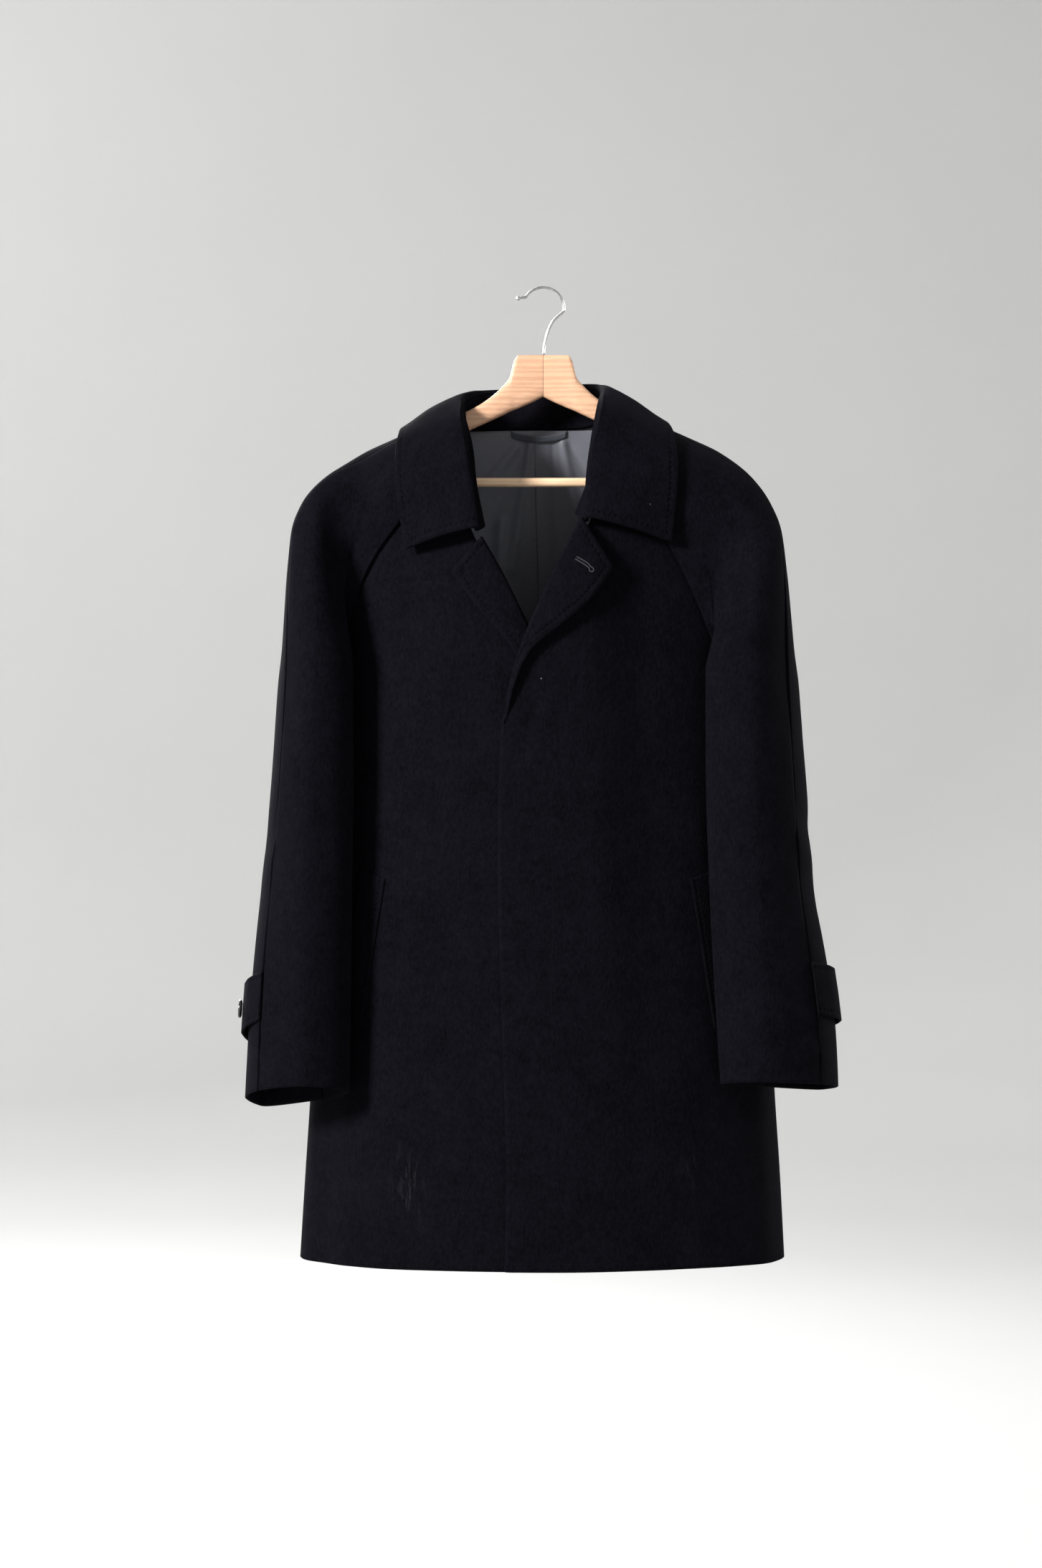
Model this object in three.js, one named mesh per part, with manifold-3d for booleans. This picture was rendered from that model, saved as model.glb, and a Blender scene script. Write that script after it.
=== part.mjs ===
// A raglan wool overcoat, buttoned by a hidden fly, worn by a plain wooden hanger.
// Millimetres, +X to the viewer's right, +Y away from the viewer, +Z up.
// The origin is the inside top of the hanger's hook, from which all of it hangs.
import * as THREE from "three";
import { mergeVertices } from "three/addons/utils/BufferGeometryUtils.js";
import Module from "manifold-3d";

const wasm = await Module();
wasm.setup();

// Driving dimensions of the cloth
const cloth = 2.6; // coating of body and sleeves
const collarCloth = 4; // two layers of coating, edge stitched
const lapelCloth = 3.6;
const liningCloth = 1;
const seam = 0.3; // clear gap between two pieces sewn together
const layer = 0.6; // air between two layers that lie on each other

// Heights of the coat below the hook
const hemZ = -1055;
const underarmZ = -425;
const frontNeckZ = -186; // where the front raglan seam meets the neck seam
const backNeckZ = -152;
const cuffZ = { right: -864, left: -876 };
const outerTopZ = -395; // outer edge of the sleeve in the row at the underarm

// Numbers of rows and columns in the walls
const raglanRows = 9;
const bodyRows = 15;
const sleeveRows = 14;
const frontColumns = 14;
const backColumns = 22;

// Materials
const matte = (color, roughness, metalness = 0) =>
  new THREE.MeshStandardMaterial({ color, roughness, metalness });
const woolMaterial = matte(0x17171d, 0.95);
const liningMaterial = matte(0x8b8b8e, 0.45);
const loopMaterial = matte(0x181a26, 0.6);
const buttonMaterial = matte(0x0c0c10, 0.3);
const woodMaterial = matte(0xc9a487, 0.55);
const barMaterial = matte(0xd6b596, 0.55);
const steelMaterial = matte(0xb9bcc0, 0.25, 1);

// Small mathematics
const lerp = (a, b, t) => a + (b - a) * t;
const clamp = (value) => Math.min(1, Math.max(0, value));
const smooth = (from, to, value) => {
  const t = clamp((value - from) / (to - from));
  return t * t * (3 - 2 * t);
};
const bump = (centre, width, value) => Math.exp(-(((value - centre) / width) ** 2));
const vec = (x, y, z) => new THREE.Vector3(x, y, z);
const steps = (count) => Array.from({ length: count + 1 }, (_, i) => i);
const radians = (degrees) => (degrees * Math.PI) / 180;

// A table with named columns, its rows sorted by the first column.
function table(names, rows) {
  const sorted = [...rows].sort((a, b) => a[0] - b[0]);
  return { names, rows: sorted };
}

// Every column of a table at one value of the first column, on a smooth curve through the rows.
function look({ names, rows }, key) {
  const last = rows.length - 1;
  const x = Math.min(rows[last][0], Math.max(rows[0][0], key));
  let k = 0;
  while (k < last - 1 && x > rows[k + 1][0]) k += 1;
  const width = rows[k + 1][0] - rows[k][0];
  const t = (x - rows[k][0]) / width;
  const slope = (i, c) => {
    const a = rows[Math.max(0, i - 1)];
    const b = rows[Math.min(last, i + 1)];
    return (b[c] - a[c]) / (b[0] - a[0]);
  };
  const found = {};
  names.forEach((name, c) => {
    const [p, q] = [rows[k][c], rows[k + 1][c]];
    const [m, n] = [slope(k, c) * width, slope(k + 1, c) * width];
    const value = p + m * t + (3 * (q - p) - 2 * m - n) * t ** 2 + (2 * (p - q) + m + n) * t ** 3;
    found[name] = value;
  });
  return found;
}

// Outward normals of a grid of points, rows upwards and columns anticlockwise seen from above.
function gridNormals(grid) {
  const rows = grid.length;
  const columns = grid[0].length;
  return grid.map((row, i) =>
    row.map((_, j) => {
      const along = grid[i][Math.min(columns - 1, j + 1)].clone().sub(grid[i][Math.max(0, j - 1)]);
      const up = grid[Math.min(rows - 1, i + 1)][j].clone().sub(grid[Math.max(0, i - 1)][j]);
      return along.cross(up).normalize();
    })
  );
}

// Slides the border points of one side of a grid inwards along the wall.
function trimBorder(grid, gap) {
  const lastRow = grid.length - 1;
  const lastColumn = grid[0].length - 1;
  const pull = (point, towards) => point.add(towards.clone().sub(point).setLength(gap));
  grid.forEach((row) => {
    pull(row[0], row[1]);
    pull(row[lastColumn], row[lastColumn - 1]);
  });
  steps(lastColumn).forEach((j) => {
    pull(grid[0][j], grid[1][j]);
    pull(grid[lastRow][j], grid[lastRow - 1][j]);
  });
}

// A closed wall: the outer grid, the same grid moved inwards by the thickness, and the four edges.
function wall(outerGrid, normals, thickness, gap = seam / 2) {
  const outer = outerGrid.map((row) => row.map((p) => p.clone()));
  const inner = outerGrid.map((row, i) =>
    row.map((p, j) => p.clone().addScaledVector(normals[i][j], -thickness))
  );
  trimBorder(outer, gap);
  trimBorder(inner, gap);
  const rows = outer.length;
  const columns = outer[0].length;
  const points = [...outer.flat(), ...inner.flat()];
  const index = [];
  const at = (side, i, j) => side * rows * columns + i * columns + j;
  const quad = (a, b, c, d) => index.push(a, b, c, a, c, d);
  for (let i = 0; i < rows - 1; i += 1) {
    for (let j = 0; j < columns - 1; j += 1) {
      quad(at(0, i, j), at(0, i, j + 1), at(0, i + 1, j + 1), at(0, i + 1, j));
      quad(at(1, i, j), at(1, i + 1, j), at(1, i + 1, j + 1), at(1, i, j + 1));
    }
    quad(at(0, i, 0), at(0, i + 1, 0), at(1, i + 1, 0), at(1, i, 0));
    const j = columns - 1;
    quad(at(0, i, j), at(1, i, j), at(1, i + 1, j), at(0, i + 1, j));
  }
  for (let j = 0; j < columns - 1; j += 1) {
    const i = rows - 1;
    quad(at(0, 0, j), at(1, 0, j), at(1, 0, j + 1), at(0, 0, j + 1));
    quad(at(0, i, j), at(0, i, j + 1), at(1, i, j + 1), at(1, i, j));
  }
  const geometry = new THREE.BufferGeometry().setFromPoints(points);
  geometry.setIndex(index);
  return facingOut(geometry);
}

// The same geometry with its faces outwards.
function facingOut(geometry) {
  const index = geometry.index.array;
  const position = geometry.attributes.position;
  const corner = (k) => new THREE.Vector3().fromBufferAttribute(position, index[k]);
  let volume = 0;
  for (let k = 0; k < index.length; k += 3) {
    volume += corner(k).dot(corner(k + 1).cross(corner(k + 2)));
  }
  if (volume < 0) {
    for (let k = 0; k < index.length; k += 3) {
      [index[k], index[k + 1]] = [index[k + 1], index[k]];
    }
  }
  geometry.computeVertexNormals();
  return geometry;
}

const coat = new THREE.Group();
coat.name = "overcoat_on_hanger";

function add(name, geometry, material) {
  const mesh = new THREE.Mesh(geometry, material);
  mesh.name = name;
  coat.add(mesh);
}

// Body of the coat: level sections, the part above the underarm carried on inside the sleeves
const bodySections = table(
  ["z", "middle", "half", "sideY", "frontY", "backY"],
  [
    [-1060, -1, 265, 20, -90, 68],
    [-960, -0.5, 259.5, 23, -91, 66],
    [-880, -0.5, 254.5, 26, -92, 65],
    [-780, -0.5, 249.5, 27, -93, 64],
    [-660, -1, 245, 27, -94, 63],
    [-560, -1, 241.5, 26, -94, 62],
    [-470, -1.5, 238, 24, -94, 62],
    [-425, -1.5, 236.5, 22, -93, 62],
    [-379, -2.5, 233, 16, -92, 61],
    [-326, -4, 225, 8, -90, 59],
    [-261, -6, 205, 1, -84, 54],
    [-186, -8, 165, -4, -68, 47],
    [-150, -8, 150, -5, -58, 42],
  ]
);

// Soft vertical folds: angle round the body, width and depth at the hem, and height where each fades out
const bodyFolds = [
  { angle: 38, width: 9, depth: 5, top: -560 },
  { angle: 66, width: 8, depth: -5, top: -480 },
  { angle: 97, width: 10, depth: 6, top: -430 },
  { angle: 126, width: 9, depth: -4, top: -520 },
  { angle: 152, width: 8, depth: 5, top: -600 },
  { angle: -26, width: 8, depth: 4, top: -640 },
  { angle: -52, width: 8, depth: -2.5, top: -700 },
  { angle: -128, width: 9, depth: 2.5, top: -690 },
  { angle: -155, width: 8, depth: -4, top: -620 },
];

// A point of the body: the angle goes from 0 at the viewer's right side over 90 at the back.
function bodyPoint(degrees, z) {
  const s = look(bodySections, z);
  const angle = radians(degrees);
  const depth = Math.sin(angle) < 0 ? s.sideY - s.frontY : s.backY - s.sideY;
  const fold = bodyFolds.reduce(
    (sum, f) => sum + f.depth * bump(f.angle, f.width, degrees) * smooth(f.top, hemZ, z),
    0
  );
  const x = s.middle + (s.half + fold) * Math.cos(angle);
  const y = s.sideY + (depth + fold) * Math.sin(angle);
  return vec(x, y, z);
}

// The angle at which the front (side -1) or back (side 1) of the body has a given x.
function bodyAngle(x, z, side) {
  const s = look(bodySections, z);
  const cosine = Math.min(1, Math.max(-1, (x - s.middle) / s.half));
  return (side * Math.acos(cosine) * 180) / Math.PI;
}

// The outward normal of the body there.
function bodyNormal(degrees, z) {
  const along = bodyPoint(degrees + 0.5, z).sub(bodyPoint(degrees - 0.5, z));
  const up = bodyPoint(degrees, z + 2).sub(bodyPoint(degrees, z - 2));
  return along.cross(up).normalize();
}

// Raglan seams, as shares of the half width of the body
const raglanSeams = table(
  ["z", "frontRight", "frontLeft"],
  [
    [-425, 1, 1],
    [-416, 0.905, 0.955],
    [-400, 0.82, 0.92],
    [-379, 0.765, 0.895],
    [-354, 0.735, 0.875],
    [-326, 0.7, 0.845],
    [-295, 0.66, 0.8],
    [-261, 0.605, 0.72],
    [-225, 0.54, 0.62],
    [-186, 0.49, 0.52],
  ]
);
const backRaglanSeam = table(
  ["z", "share"],
  [
    [-425, 1],
    [-415, 0.965],
    [-395, 0.895],
    [-368, 0.815],
    [-336, 0.745],
    [-302, 0.7],
    [-266, 0.65],
    [-228, 0.6],
    [-190, 0.555],
    [-152, 0.53],
  ]
);

// Heights of the rows between underarm and neck, close together where the seams turn under the arm.
const rise = (i, top) => lerp(underarmZ, top, (i / raglanRows) ** 1.5);
const frontRowZ = steps(raglanRows).map((i) => rise(i, frontNeckZ));
const backRowZ = steps(raglanRows).map((i) => rise(i, backNeckZ));

const frontSeamAngle = (i, right) => {
  const share = look(raglanSeams, frontRowZ[i])[right ? "frontRight" : "frontLeft"];
  const angle = (Math.acos(Math.min(1, share)) * 180) / Math.PI;
  return right ? -angle : angle - 180;
};
const backSeamAngle = (i, right) => {
  const { share } = look(backRaglanSeam, backRowZ[i]);
  const angle = (Math.acos(Math.min(1, share)) * 180) / Math.PI;
  return right ? angle : 180 - angle;
};

// Lapels: roll line and free edge, from the break at 0 to the gorge at 1
const lapelRight = table(
  ["t", "rollX", "rollZ", "edgeX", "edgeZ"],
  [
    [0, -44, -474, -37, -480],
    [0.2, -37, -434, -32.5, -438],
    [0.4, -25, -393, -15, -399],
    [0.6, -8, -352, 13, -374],
    [0.8, 14, -305, 47, -345],
    [1, 39, -256, 74, -310],
  ]
);
const lapelLeft = table(
  ["t", "rollX", "rollZ", "edgeX", "edgeZ"],
  [
    [0, 34, -474, 27, -480],
    [0.2, 22, -444, 13, -452],
    [0.4, 4, -409, -12, -424],
    [0.6, -16, -370, -42, -382],
    [0.8, -41, -319, -71, -349],
    [1, -65, -276, -97, -313],
  ]
);
const lapelTurn = 6; // half the depth of the roll, and how far the front stops behind it

// The centre of a lapel's roll in front view, and the direction from its roll line to its free edge.
function rollCentre(t, right) {
  const { rollX, rollZ, edgeX, edgeZ } = look(right ? lapelRight : lapelLeft, t);
  const roll = vec(rollX, 0, rollZ);
  const edge = vec(edgeX, 0, edgeZ);
  const width = roll.distanceTo(edge);
  const outwards = edge.clone().sub(roll).divideScalar(width);
  const turn = Math.min(lapelTurn, 0.45 * width);
  return { edge, outwards, turn, centre: roll.addScaledVector(outwards, turn) };
}

// Where the front stops: its edge below the break, the roll line above it and the neck seam at the top.
const edgeBelowRight = [
  [-1060, -41],
  [-960, -39],
  [-840, -42],
  [-720, -46],
  [-600, -48],
  [-520, -46],
];
const edgeBelowLeft = [
  [-1060, 38],
  [-600, 37],
  [-520, 35],
];
const neckRight = [
  [-261, 49],
  [-235, 55],
  [-215, 58],
  [-186, 67],
];
const neckLeft = [
  [-281, -72],
  [-262, -80],
  [-240, -87],
  [-215, -89],
  [-186, -89],
];
const rollRows = (right) =>
  steps(5).map((i) => {
    const { centre } = rollCentre(i / 6, right);
    return [centre.z, centre.x + (right ? 1.8 : -1.8)];
  });
const frontEdgeRight = table(["z", "x"], [...edgeBelowRight, ...rollRows(true), ...neckRight]);
const frontEdgeLeft = table(["z", "x"], [...edgeBelowLeft, ...rollRows(false), ...neckLeft]);

// How far the upper front stands off the body where it covers the lower front and its lapel.
function frontLift(x, z) {
  const overlap = 1 - smooth(40, 112, x);
  const lapelUnder = 7.8 * smooth(-680, -480, z) + 4 * smooth(-470, -385, z);
  const layers = cloth + layer + lapelUnder;
  const fading = 1 - 0.6 * smooth(-360, -280, z) - 0.4 * smooth(-290, -225, z);
  return overlap * layers * fading;
}

const sideAngle = 38; // the stretch beside the side seam, which the raglan seam crosses
const sideColumns = 4;
const raglanLap = 1.6; // degrees by which fronts and back run on under the sleeves

// Row heights of a body panel, with those above the underarm given.
const panelHeights = (above) => [
  ...steps(bodyRows - 1).map((i) => lerp(hemZ, underarmZ, i / bodyRows)),
  ...above,
];

// A front: level rows from the side seam or raglan seam to its edge, and their normals.
function frontGrid(right) {
  const side = right ? 1 : -1;
  const normals = [];
  const grid = panelHeights(frontRowZ).map((z, i) => {
    const k = i - bodyRows;
    const sideSeam = right ? 0 : -180;
    const start = k < 1 ? sideSeam : frontSeamAngle(k, right) + side * raglanLap;
    const edge = look(right ? frontEdgeRight : frontEdgeLeft, z).x;
    const end = bodyAngle(edge, z, -1);
    const turned = right ? Math.min(-sideAngle, start - 5) : Math.max(sideAngle - 180, start + 5);
    const angles = steps(frontColumns).map((j) =>
      j < sideColumns
        ? lerp(start, turned, j / sideColumns)
        : lerp(turned, end, (j - sideColumns) / (frontColumns - sideColumns))
    );
    if (right) angles.reverse();
    normals.push(angles.map((degrees) => bodyNormal(degrees, z)));
    return angles.map((degrees) => {
      const point = bodyPoint(degrees, z);
      if (right) point.y -= frontLift(point.x, z);
      return point;
    });
  });
  return { grid, normals };
}

// The back: level rows between the side seams or the two raglan seams, and their normals.
function backGrid() {
  const normals = [];
  const grid = panelHeights(backRowZ).map((z, i) => {
    const k = i - bodyRows;
    const start = k < 1 ? 0 : backSeamAngle(k, true) - raglanLap;
    const end = k < 1 ? 180 : backSeamAngle(k, false) + raglanLap;
    const [low, high] = [Math.max(sideAngle, start + 4), Math.min(180 - sideAngle, end - 4)];
    const angles = steps(backColumns).map((j) => {
      if (j < sideColumns) return lerp(start, low, j / sideColumns);
      if (j > backColumns - sideColumns) return lerp(end, high, (backColumns - j) / sideColumns);
      return lerp(low, high, (j - sideColumns) / (backColumns - 2 * sideColumns));
    });
    normals.push(angles.map((degrees) => bodyNormal(degrees, z)));
    return angles.map((degrees) => bodyPoint(degrees, z));
  });
  return { grid, normals };
}

// Sleeves: where each section's fold, front, outer edge and back lie
const sleeveRight = table(
  ["z", "foldX", "foldY", "crownX", "crownY", "outerX", "outerY", "heelX", "heelY", "under"],
  [
    [-864, 188, -70, 243, -95, 317, -38, 300, 8, -24],
    [-800, 184, -70, 240, -97, 314, -36, 297, 14, -18],
    [-731, 180, -71, 233, -99, 305, -34, 288, 20, -10],
    [-650, 176, -72, 229, -99, 291, -31, 274, 27, -3],
    [-560, 173, -72, 226, -99, 285, -29, 267, 31, 2],
    [-470, 172, -73, 225, -98, 277, -26, 259, 32, 4],
    [-395, 172, -76, 222, -98, 270, -22, 253, 34, 4],
  ]
);
const sleeveLeft = table(
  ["z", "foldX", "foldY", "crownX", "crownY", "outerX", "outerY", "heelX", "heelY", "under"],
  [
    [-876, -207, -66, -262, -95, -321, -38, -304, 10, -24],
    [-800, -206, -67, -262, -97, -317, -36, -300, 15, -18],
    [-731, -205, -68, -260, -99, -312, -34, -295, 20, -10],
    [-650, -204, -69, -256, -99, -304, -31, -287, 27, -3],
    [-560, -203, -70, -252, -99, -295, -29, -276, 31, 2],
    [-470, -203, -71, -248, -98, -288, -26, -268, 33, 4],
    [-395, -203, -72, -245, -97, -282, -22, -262, 34, 4],
  ]
);

// Ridge of shoulder and upper arm, from the underarm row at 0 to the neck at 9
const ridgeRight = table(
  ["row", "x", "y", "z"],
  [
    [0, 270, -22, -395],
    [1, 266.5, -20, -353],
    [2, 262.5, -17, -313],
    [3, 253, -14, -272],
    [4, 238, -12, -235],
    [5, 219, -11, -203],
    [6, 191, -9, -179.5],
    [7, 157, -6, -163],
    [8, 118, -3, -145.7],
    [9, 80, 0, -128],
  ]
);
const ridgeLeft = table(
  ["row", "x", "y", "z"],
  [
    [0, -282, -22, -395],
    [1, -279, -20, -353],
    [2, -275.5, -17, -313],
    [3, -265, -14, -272],
    [4, -248, -12, -235],
    [5, -225, -11, -203],
    [6, -195, -9, -180],
    [7, -163, -6, -165],
    [8, -129, -3, -150],
    [9, -94, 0, -134.4],
  ]
);

// Fullness of the rows above the underarm: how far the cloth stands forward and back of its seams,
// and how much of the fold beside the chest each row has.
const raglanFullness = table(
  ["row", "front", "back", "foldRight", "foldLeft"],
  [
    [0, 0, 0, 1, 1],
    [1, 8, 6, 1, 1],
    [2, 8, 6, 0.92, 0.96],
    [3, 8, 6, 0.72, 0.82],
    [4, 7, 6, 0.4, 0.52],
    [5, 6, 6, 0.14, 0.2],
    [6, 5, 5, 0, 0.04],
    [7, 4, 4, 0, 0],
    [8, 3, 3, 0, 0],
    [9, 2, 2, 0, 0],
  ]
);

const innerClearance = 7; // air between the body and the inside of a sleeve
const lapLift = cloth + 0.5; // how far a sleeve's edge lies above the panel under it
const foldInset = 11; // how far behind the fold the inside of a sleeve leaves the body
const cuffTilt = { right: -0.17, left: -0.3 }; // rise of a cuff for each millimetre backwards
const cuffPivotY = -35;
const underarmSlant = 30; // how much higher than its fold the outer edge of a row is at the underarm

// A point of the body moved out by a distance.
const offBody = (degrees, z, distance) =>
  bodyPoint(degrees, z).addScaledVector(bodyNormal(degrees, z), distance);

// The points that name a sleeve's section round the arm, from the body side over the fold, the
// crown, the outer seam and the outer edge to the heel, all at one height.
function beanPoints(z, right, start, startLift) {
  const s = look(right ? sleeveRight : sleeveLeft, z);
  const side = right ? 1 : -1;
  const foldAngle = bodyAngle(s.foldX + side * foldInset, z, -1);
  const end = right ? Math.min(foldAngle, start - 2) : Math.max(foldAngle, start + 2);
  const inside = steps(3).map((k) =>
    offBody(lerp(start, end, k / 3), z, lerp(startLift, innerClearance, Math.min(1, k / 2)))
  );
  const fold = vec(s.foldX, s.foldY, z);
  const crown = vec(s.crownX, s.crownY, z);
  const outer = vec(s.outerX, s.outerY, z);
  const heel = vec(s.heelX, s.heelY, z);
  const corner = (a, b, shareX, shareY) => vec(lerp(a.x, b.x, shareX), lerp(a.y, b.y, shareY), z);
  return [
    ...inside,
    fold,
    corner(fold, crown, 0.36, 0.75),
    crown,
    corner(crown, outer, 0.7, 0.36),
    outer,
    corner(outer, heel, 0.4, 0.72),
    heel,
  ];
}

// Places of a raglan row on its two quarter turns: 1 at the seam and 0 on the ridge
const sharesBefore = [1, 0.93, 0.86, 0.79, 0.7, 0.57, 0.4, 0.2, 0];
const sharesBehind = [0.35, 0.7, 1];

// A point at its share of the way from one x to another, its height between two heights.
function between(point, fromX, toX, fromZ, toZ) {
  const across = clamp((point.x - fromX) / (toX - fromX));
  return vec(point.x, point.y, lerp(fromZ, toZ, across));
}

// A row above the underarm: over the shoulder from the front raglan seam to the back one. Near the
// underarm it turns into the shape of the arm's own rows.
function raglanRow(i, right) {
  const full = look(raglanFullness, i);
  const fold = right ? full.foldRight : full.foldLeft;
  const heelFold = smooth(4.5, 0, i);
  const ridge = look(right ? ridgeRight : ridgeLeft, i);
  const frontAngle = frontSeamAngle(i, right);
  const startLift = lapLift + 1.4 * fold;
  const start = offBody(frontAngle, frontRowZ[i], startLift);
  const end = offBody(backSeamAngle(i, right), backRowZ[i], i === 0 ? startLift : lapLift);
  const quarter = (from, share, bulge) => {
    const angle = share * (Math.PI / 2);
    const drop = 1 - Math.cos(angle);
    return vec(
      lerp(ridge.x, from.x, drop),
      lerp(ridge.y, from.y, Math.sin(angle)) + bulge * Math.sin(Math.PI * share),
      lerp(ridge.z, from.z, drop)
    );
  };
  const bean = beanPoints(Math.min(frontRowZ[i], outerTopZ), right, frontAngle, startLift);
  const before = sharesBefore.map((share, k) => {
    const arch = quarter(start, share, -full.front);
    if (share === 1 || share === 0) return arch;
    return arch.lerp(between(bean[k], bean[4].x, ridge.x, frontRowZ[i], ridge.z), fold);
  });
  const behind = sharesBehind.map((share, k) => {
    const arch = quarter(end, share, full.back);
    if (share === 1) return arch;
    return arch.lerp(between(bean[9 + k], end.x, ridge.x, end.z, ridge.z), heelFold);
  });
  return [...before, ...behind];
}

// Height of an arm row at its middle; the one at the underarm would be the row numbered sleeveRows.
const armRowZ = (i, right) =>
  lerp(right ? cuffZ.right : cuffZ.left, outerTopZ - underarmSlant / 2, i / sleeveRows);

// A row below the underarm, its plane turning into that of the cuff.
function armRow(i, right) {
  const share = i / sleeveRows;
  const z = armRowZ(i, right);
  const s = look(right ? sleeveRight : sleeveLeft, z);
  const points = beanPoints(z, right, right ? s.under : -180 - s.under, innerClearance);
  points.push(points[0].clone());
  const tilt = (right ? cuffTilt.right : cuffTilt.left) * smooth(0.9, 0, share);
  const slant = underarmSlant * smooth(0.5, 1, share);
  points.forEach((point) => {
    const across = clamp((point.x - s.foldX) / (s.outerX - s.foldX));
    point.z += tilt * (point.y - cuffPivotY) + slant * (across - 0.5);
  });
  return points;
}

// Grid of a whole sleeve from cuff to neck; its columns pass through the named points.
const sleeveParts = [1, 1, 1, 1, 2, 2, 2, 2, 2, 2, 2]; // quads between neighbouring named points
const frontQuads = sleeveParts.slice(0, 7).reduce((a, b) => a + b);
function sleeveGrid(right) {
  const low = steps(sleeveRows - 1).map((i) => armRow(i, right));
  const high = steps(raglanRows).map((i) => raglanRow(i, right));
  const grid = [...low, ...high].map((named) => {
    const curve = new THREE.CatmullRomCurve3(named, false, "centripetal");
    const row = [named[0].clone()];
    sleeveParts.forEach((count, k) => {
      for (let j = 1; j <= count; j += 1) row.push(curve.getPoint((k + j / count) / sleeveParts.length));
    });
    return right ? row : row.reverse();
  });
  const normals = gridNormals(grid);
  const last = grid[0].length - 1;
  steps(sleeveRows).forEach((i) => {
    const mean = normals[i][0].clone().add(normals[i][last]).normalize();
    normals[i][0].copy(mean);
    normals[i][last].copy(mean);
  });
  return { grid, normals };
}

// Some columns of a grid and its normals.
const columnsOf = ({ grid, normals }, from, to) => ({
  grid: grid.map((row) => row.slice(from, to + 1)),
  normals: normals.map((row) => row.slice(from, to + 1)),
});

function addWall(name, { grid, normals }, thickness, material = woolMaterial) {
  add(name, wall(grid, normals, thickness), material);
}

function addBody() {
  addWall("front_left", frontGrid(true), cloth);
  addWall("front_right", frontGrid(false), cloth);
  addWall("back", backGrid(), cloth);
}

function addSleeves() {
  for (const right of [true, false]) {
    const whole = sleeveGrid(right);
    const last = whole.grid[0].length - 1;
    const split = right ? frontQuads : last - frontQuads;
    const name = right ? "sleeve_left" : "sleeve_right";
    const first = columnsOf(whole, 0, split);
    const second = columnsOf(whole, split, last);
    addWall(name + "_front", right ? first : second, cloth);
    addWall(name + "_back", right ? second : first, cloth);
  }
}

// Surface of a front at a place seen from the front, with the lift of the upper front.
function chest(x, z, right) {
  const angle = bodyAngle(x, z, -1);
  const point = bodyPoint(angle, z);
  if (right) point.y -= frontLift(x, z);
  return point;
}

// Lapels: each row leaves the inside of the front, turns round the roll and lies over the chest
const lapelRows = 12;
const lapelTurns = [-90, -45, 0, 45, 90]; // places round the roll, from inside the front outwards
const lapelShares = [0.3, 0.65, 1]; // places between the roll and the free edge
const lapelStand = table(
  ["t", "depth", "edge"],
  [
    [0, 7.4, 7.2],
    [0.3, 8.5, 7.5],
    [0.6, 11, 10],
    [1, 13, 13],
  ]
);

function lapelGrid(right) {
  const grid = steps(lapelRows).map((i) => {
    const t = i / lapelRows;
    const { edge, outwards, turn, centre } = rollCentre(t, right);
    const stand = look(lapelStand, t);
    const insideY = chest(centre.x, centre.z, right).y + cloth;
    const round = lapelTurns.map((degrees) => {
      const angle = radians(degrees);
      const point = centre.clone().addScaledVector(outwards, -turn * Math.cos(angle));
      point.y = insideY - (stand.depth / 2) * (1 + Math.sin(angle));
      return point;
    });
    const tip = vec(edge.x, chest(edge.x, edge.z, right).y - stand.edge, edge.z);
    const flat = lapelShares.map((share) => {
      const point = round[lapelTurns.length - 1].clone().lerp(tip, share);
      point.y -= 2.5 * t * Math.sin(Math.PI * share);
      return point;
    });
    const row = [...round, ...flat];
    return right ? row : row.reverse();
  });
  return { grid, normals: gridNormals(grid) };
}

// Collar: neck seam N, roll R and free edge E along the neck, from the back centre at 0 to a front end at 1
const collarNames = ["u", "nx", "ny", "nz", "rx", "ry", "rz", "ex", "ey", "ez"];
const collarRight = table(collarNames, [
  [-0.12, -40, 35, -150, -38, 40, -104, -50, 59, -185],
  [0, -8, 36, -150, -8, 41, -103, -8, 60, -185],
  [0.12, 24, 35, -150, 22, 40, -101, 34, 59, -184],
  [0.25, 50, 29, -148, 46, 34, -99, 78, 53, -180],
  [0.37, 66, 15, -139, 59, 18, -102, 110, 36, -167],
  [0.5, 71, -3, -125, 63, -3, -109, 128, 3, -145],
  [0.62, 67, -28, -141, 58, -30, -129, 136, -28, -160],
  [0.75, 58, -52, -178, 51, -56, -165, 139, -52, -196],
  [0.87, 46, -66, -216, 45, -76, -208, 140, -68, -236],
  [1, 33, -74, -250, 42, -96, -257, 136.5, -81, -281],
]);
const collarLeft = table(collarNames, [
  [-0.12, 24, 35, -150, 22, 40, -101, 34, 59, -184],
  [0, -8, 36, -150, -8, 41, -103, -8, 60, -185],
  [0.12, -40, 35, -150, -38, 40, -104, -50, 59, -185],
  [0.25, -66, 29, -149, -62, 33, -106, -96, 53, -182],
  [0.37, -80, 14, -143, -78, 14, -110, -130, 36, -172],
  [0.5, -88, -3, -133, -86, -4, -119, -151, 3, -152],
  [0.62, -83, -28, -146, -84, -30, -135, -154, -28, -168],
  [0.75, -75, -52, -180, -81, -57, -166, -155.5, -52, -202],
  [0.87, -71, -66, -218, -76, -76, -210, -155, -67, -240],
  [1, -62, -77, -264, -68, -96, -267, -147, -80, -288],
]);
const collarRows = 18; // on each side of the back centre
const collarTurn = 5.6; // half the depth of the fold along the roll
const standQuads = 2;
const collarParts = [standQuads, 3, 3, 3, 3]; // quads between neighbouring named points
const collarSettled = 7; // first row of the fall that rests on the shoulders
const collarAir = 2.6; // between the fall and the shoulders

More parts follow.
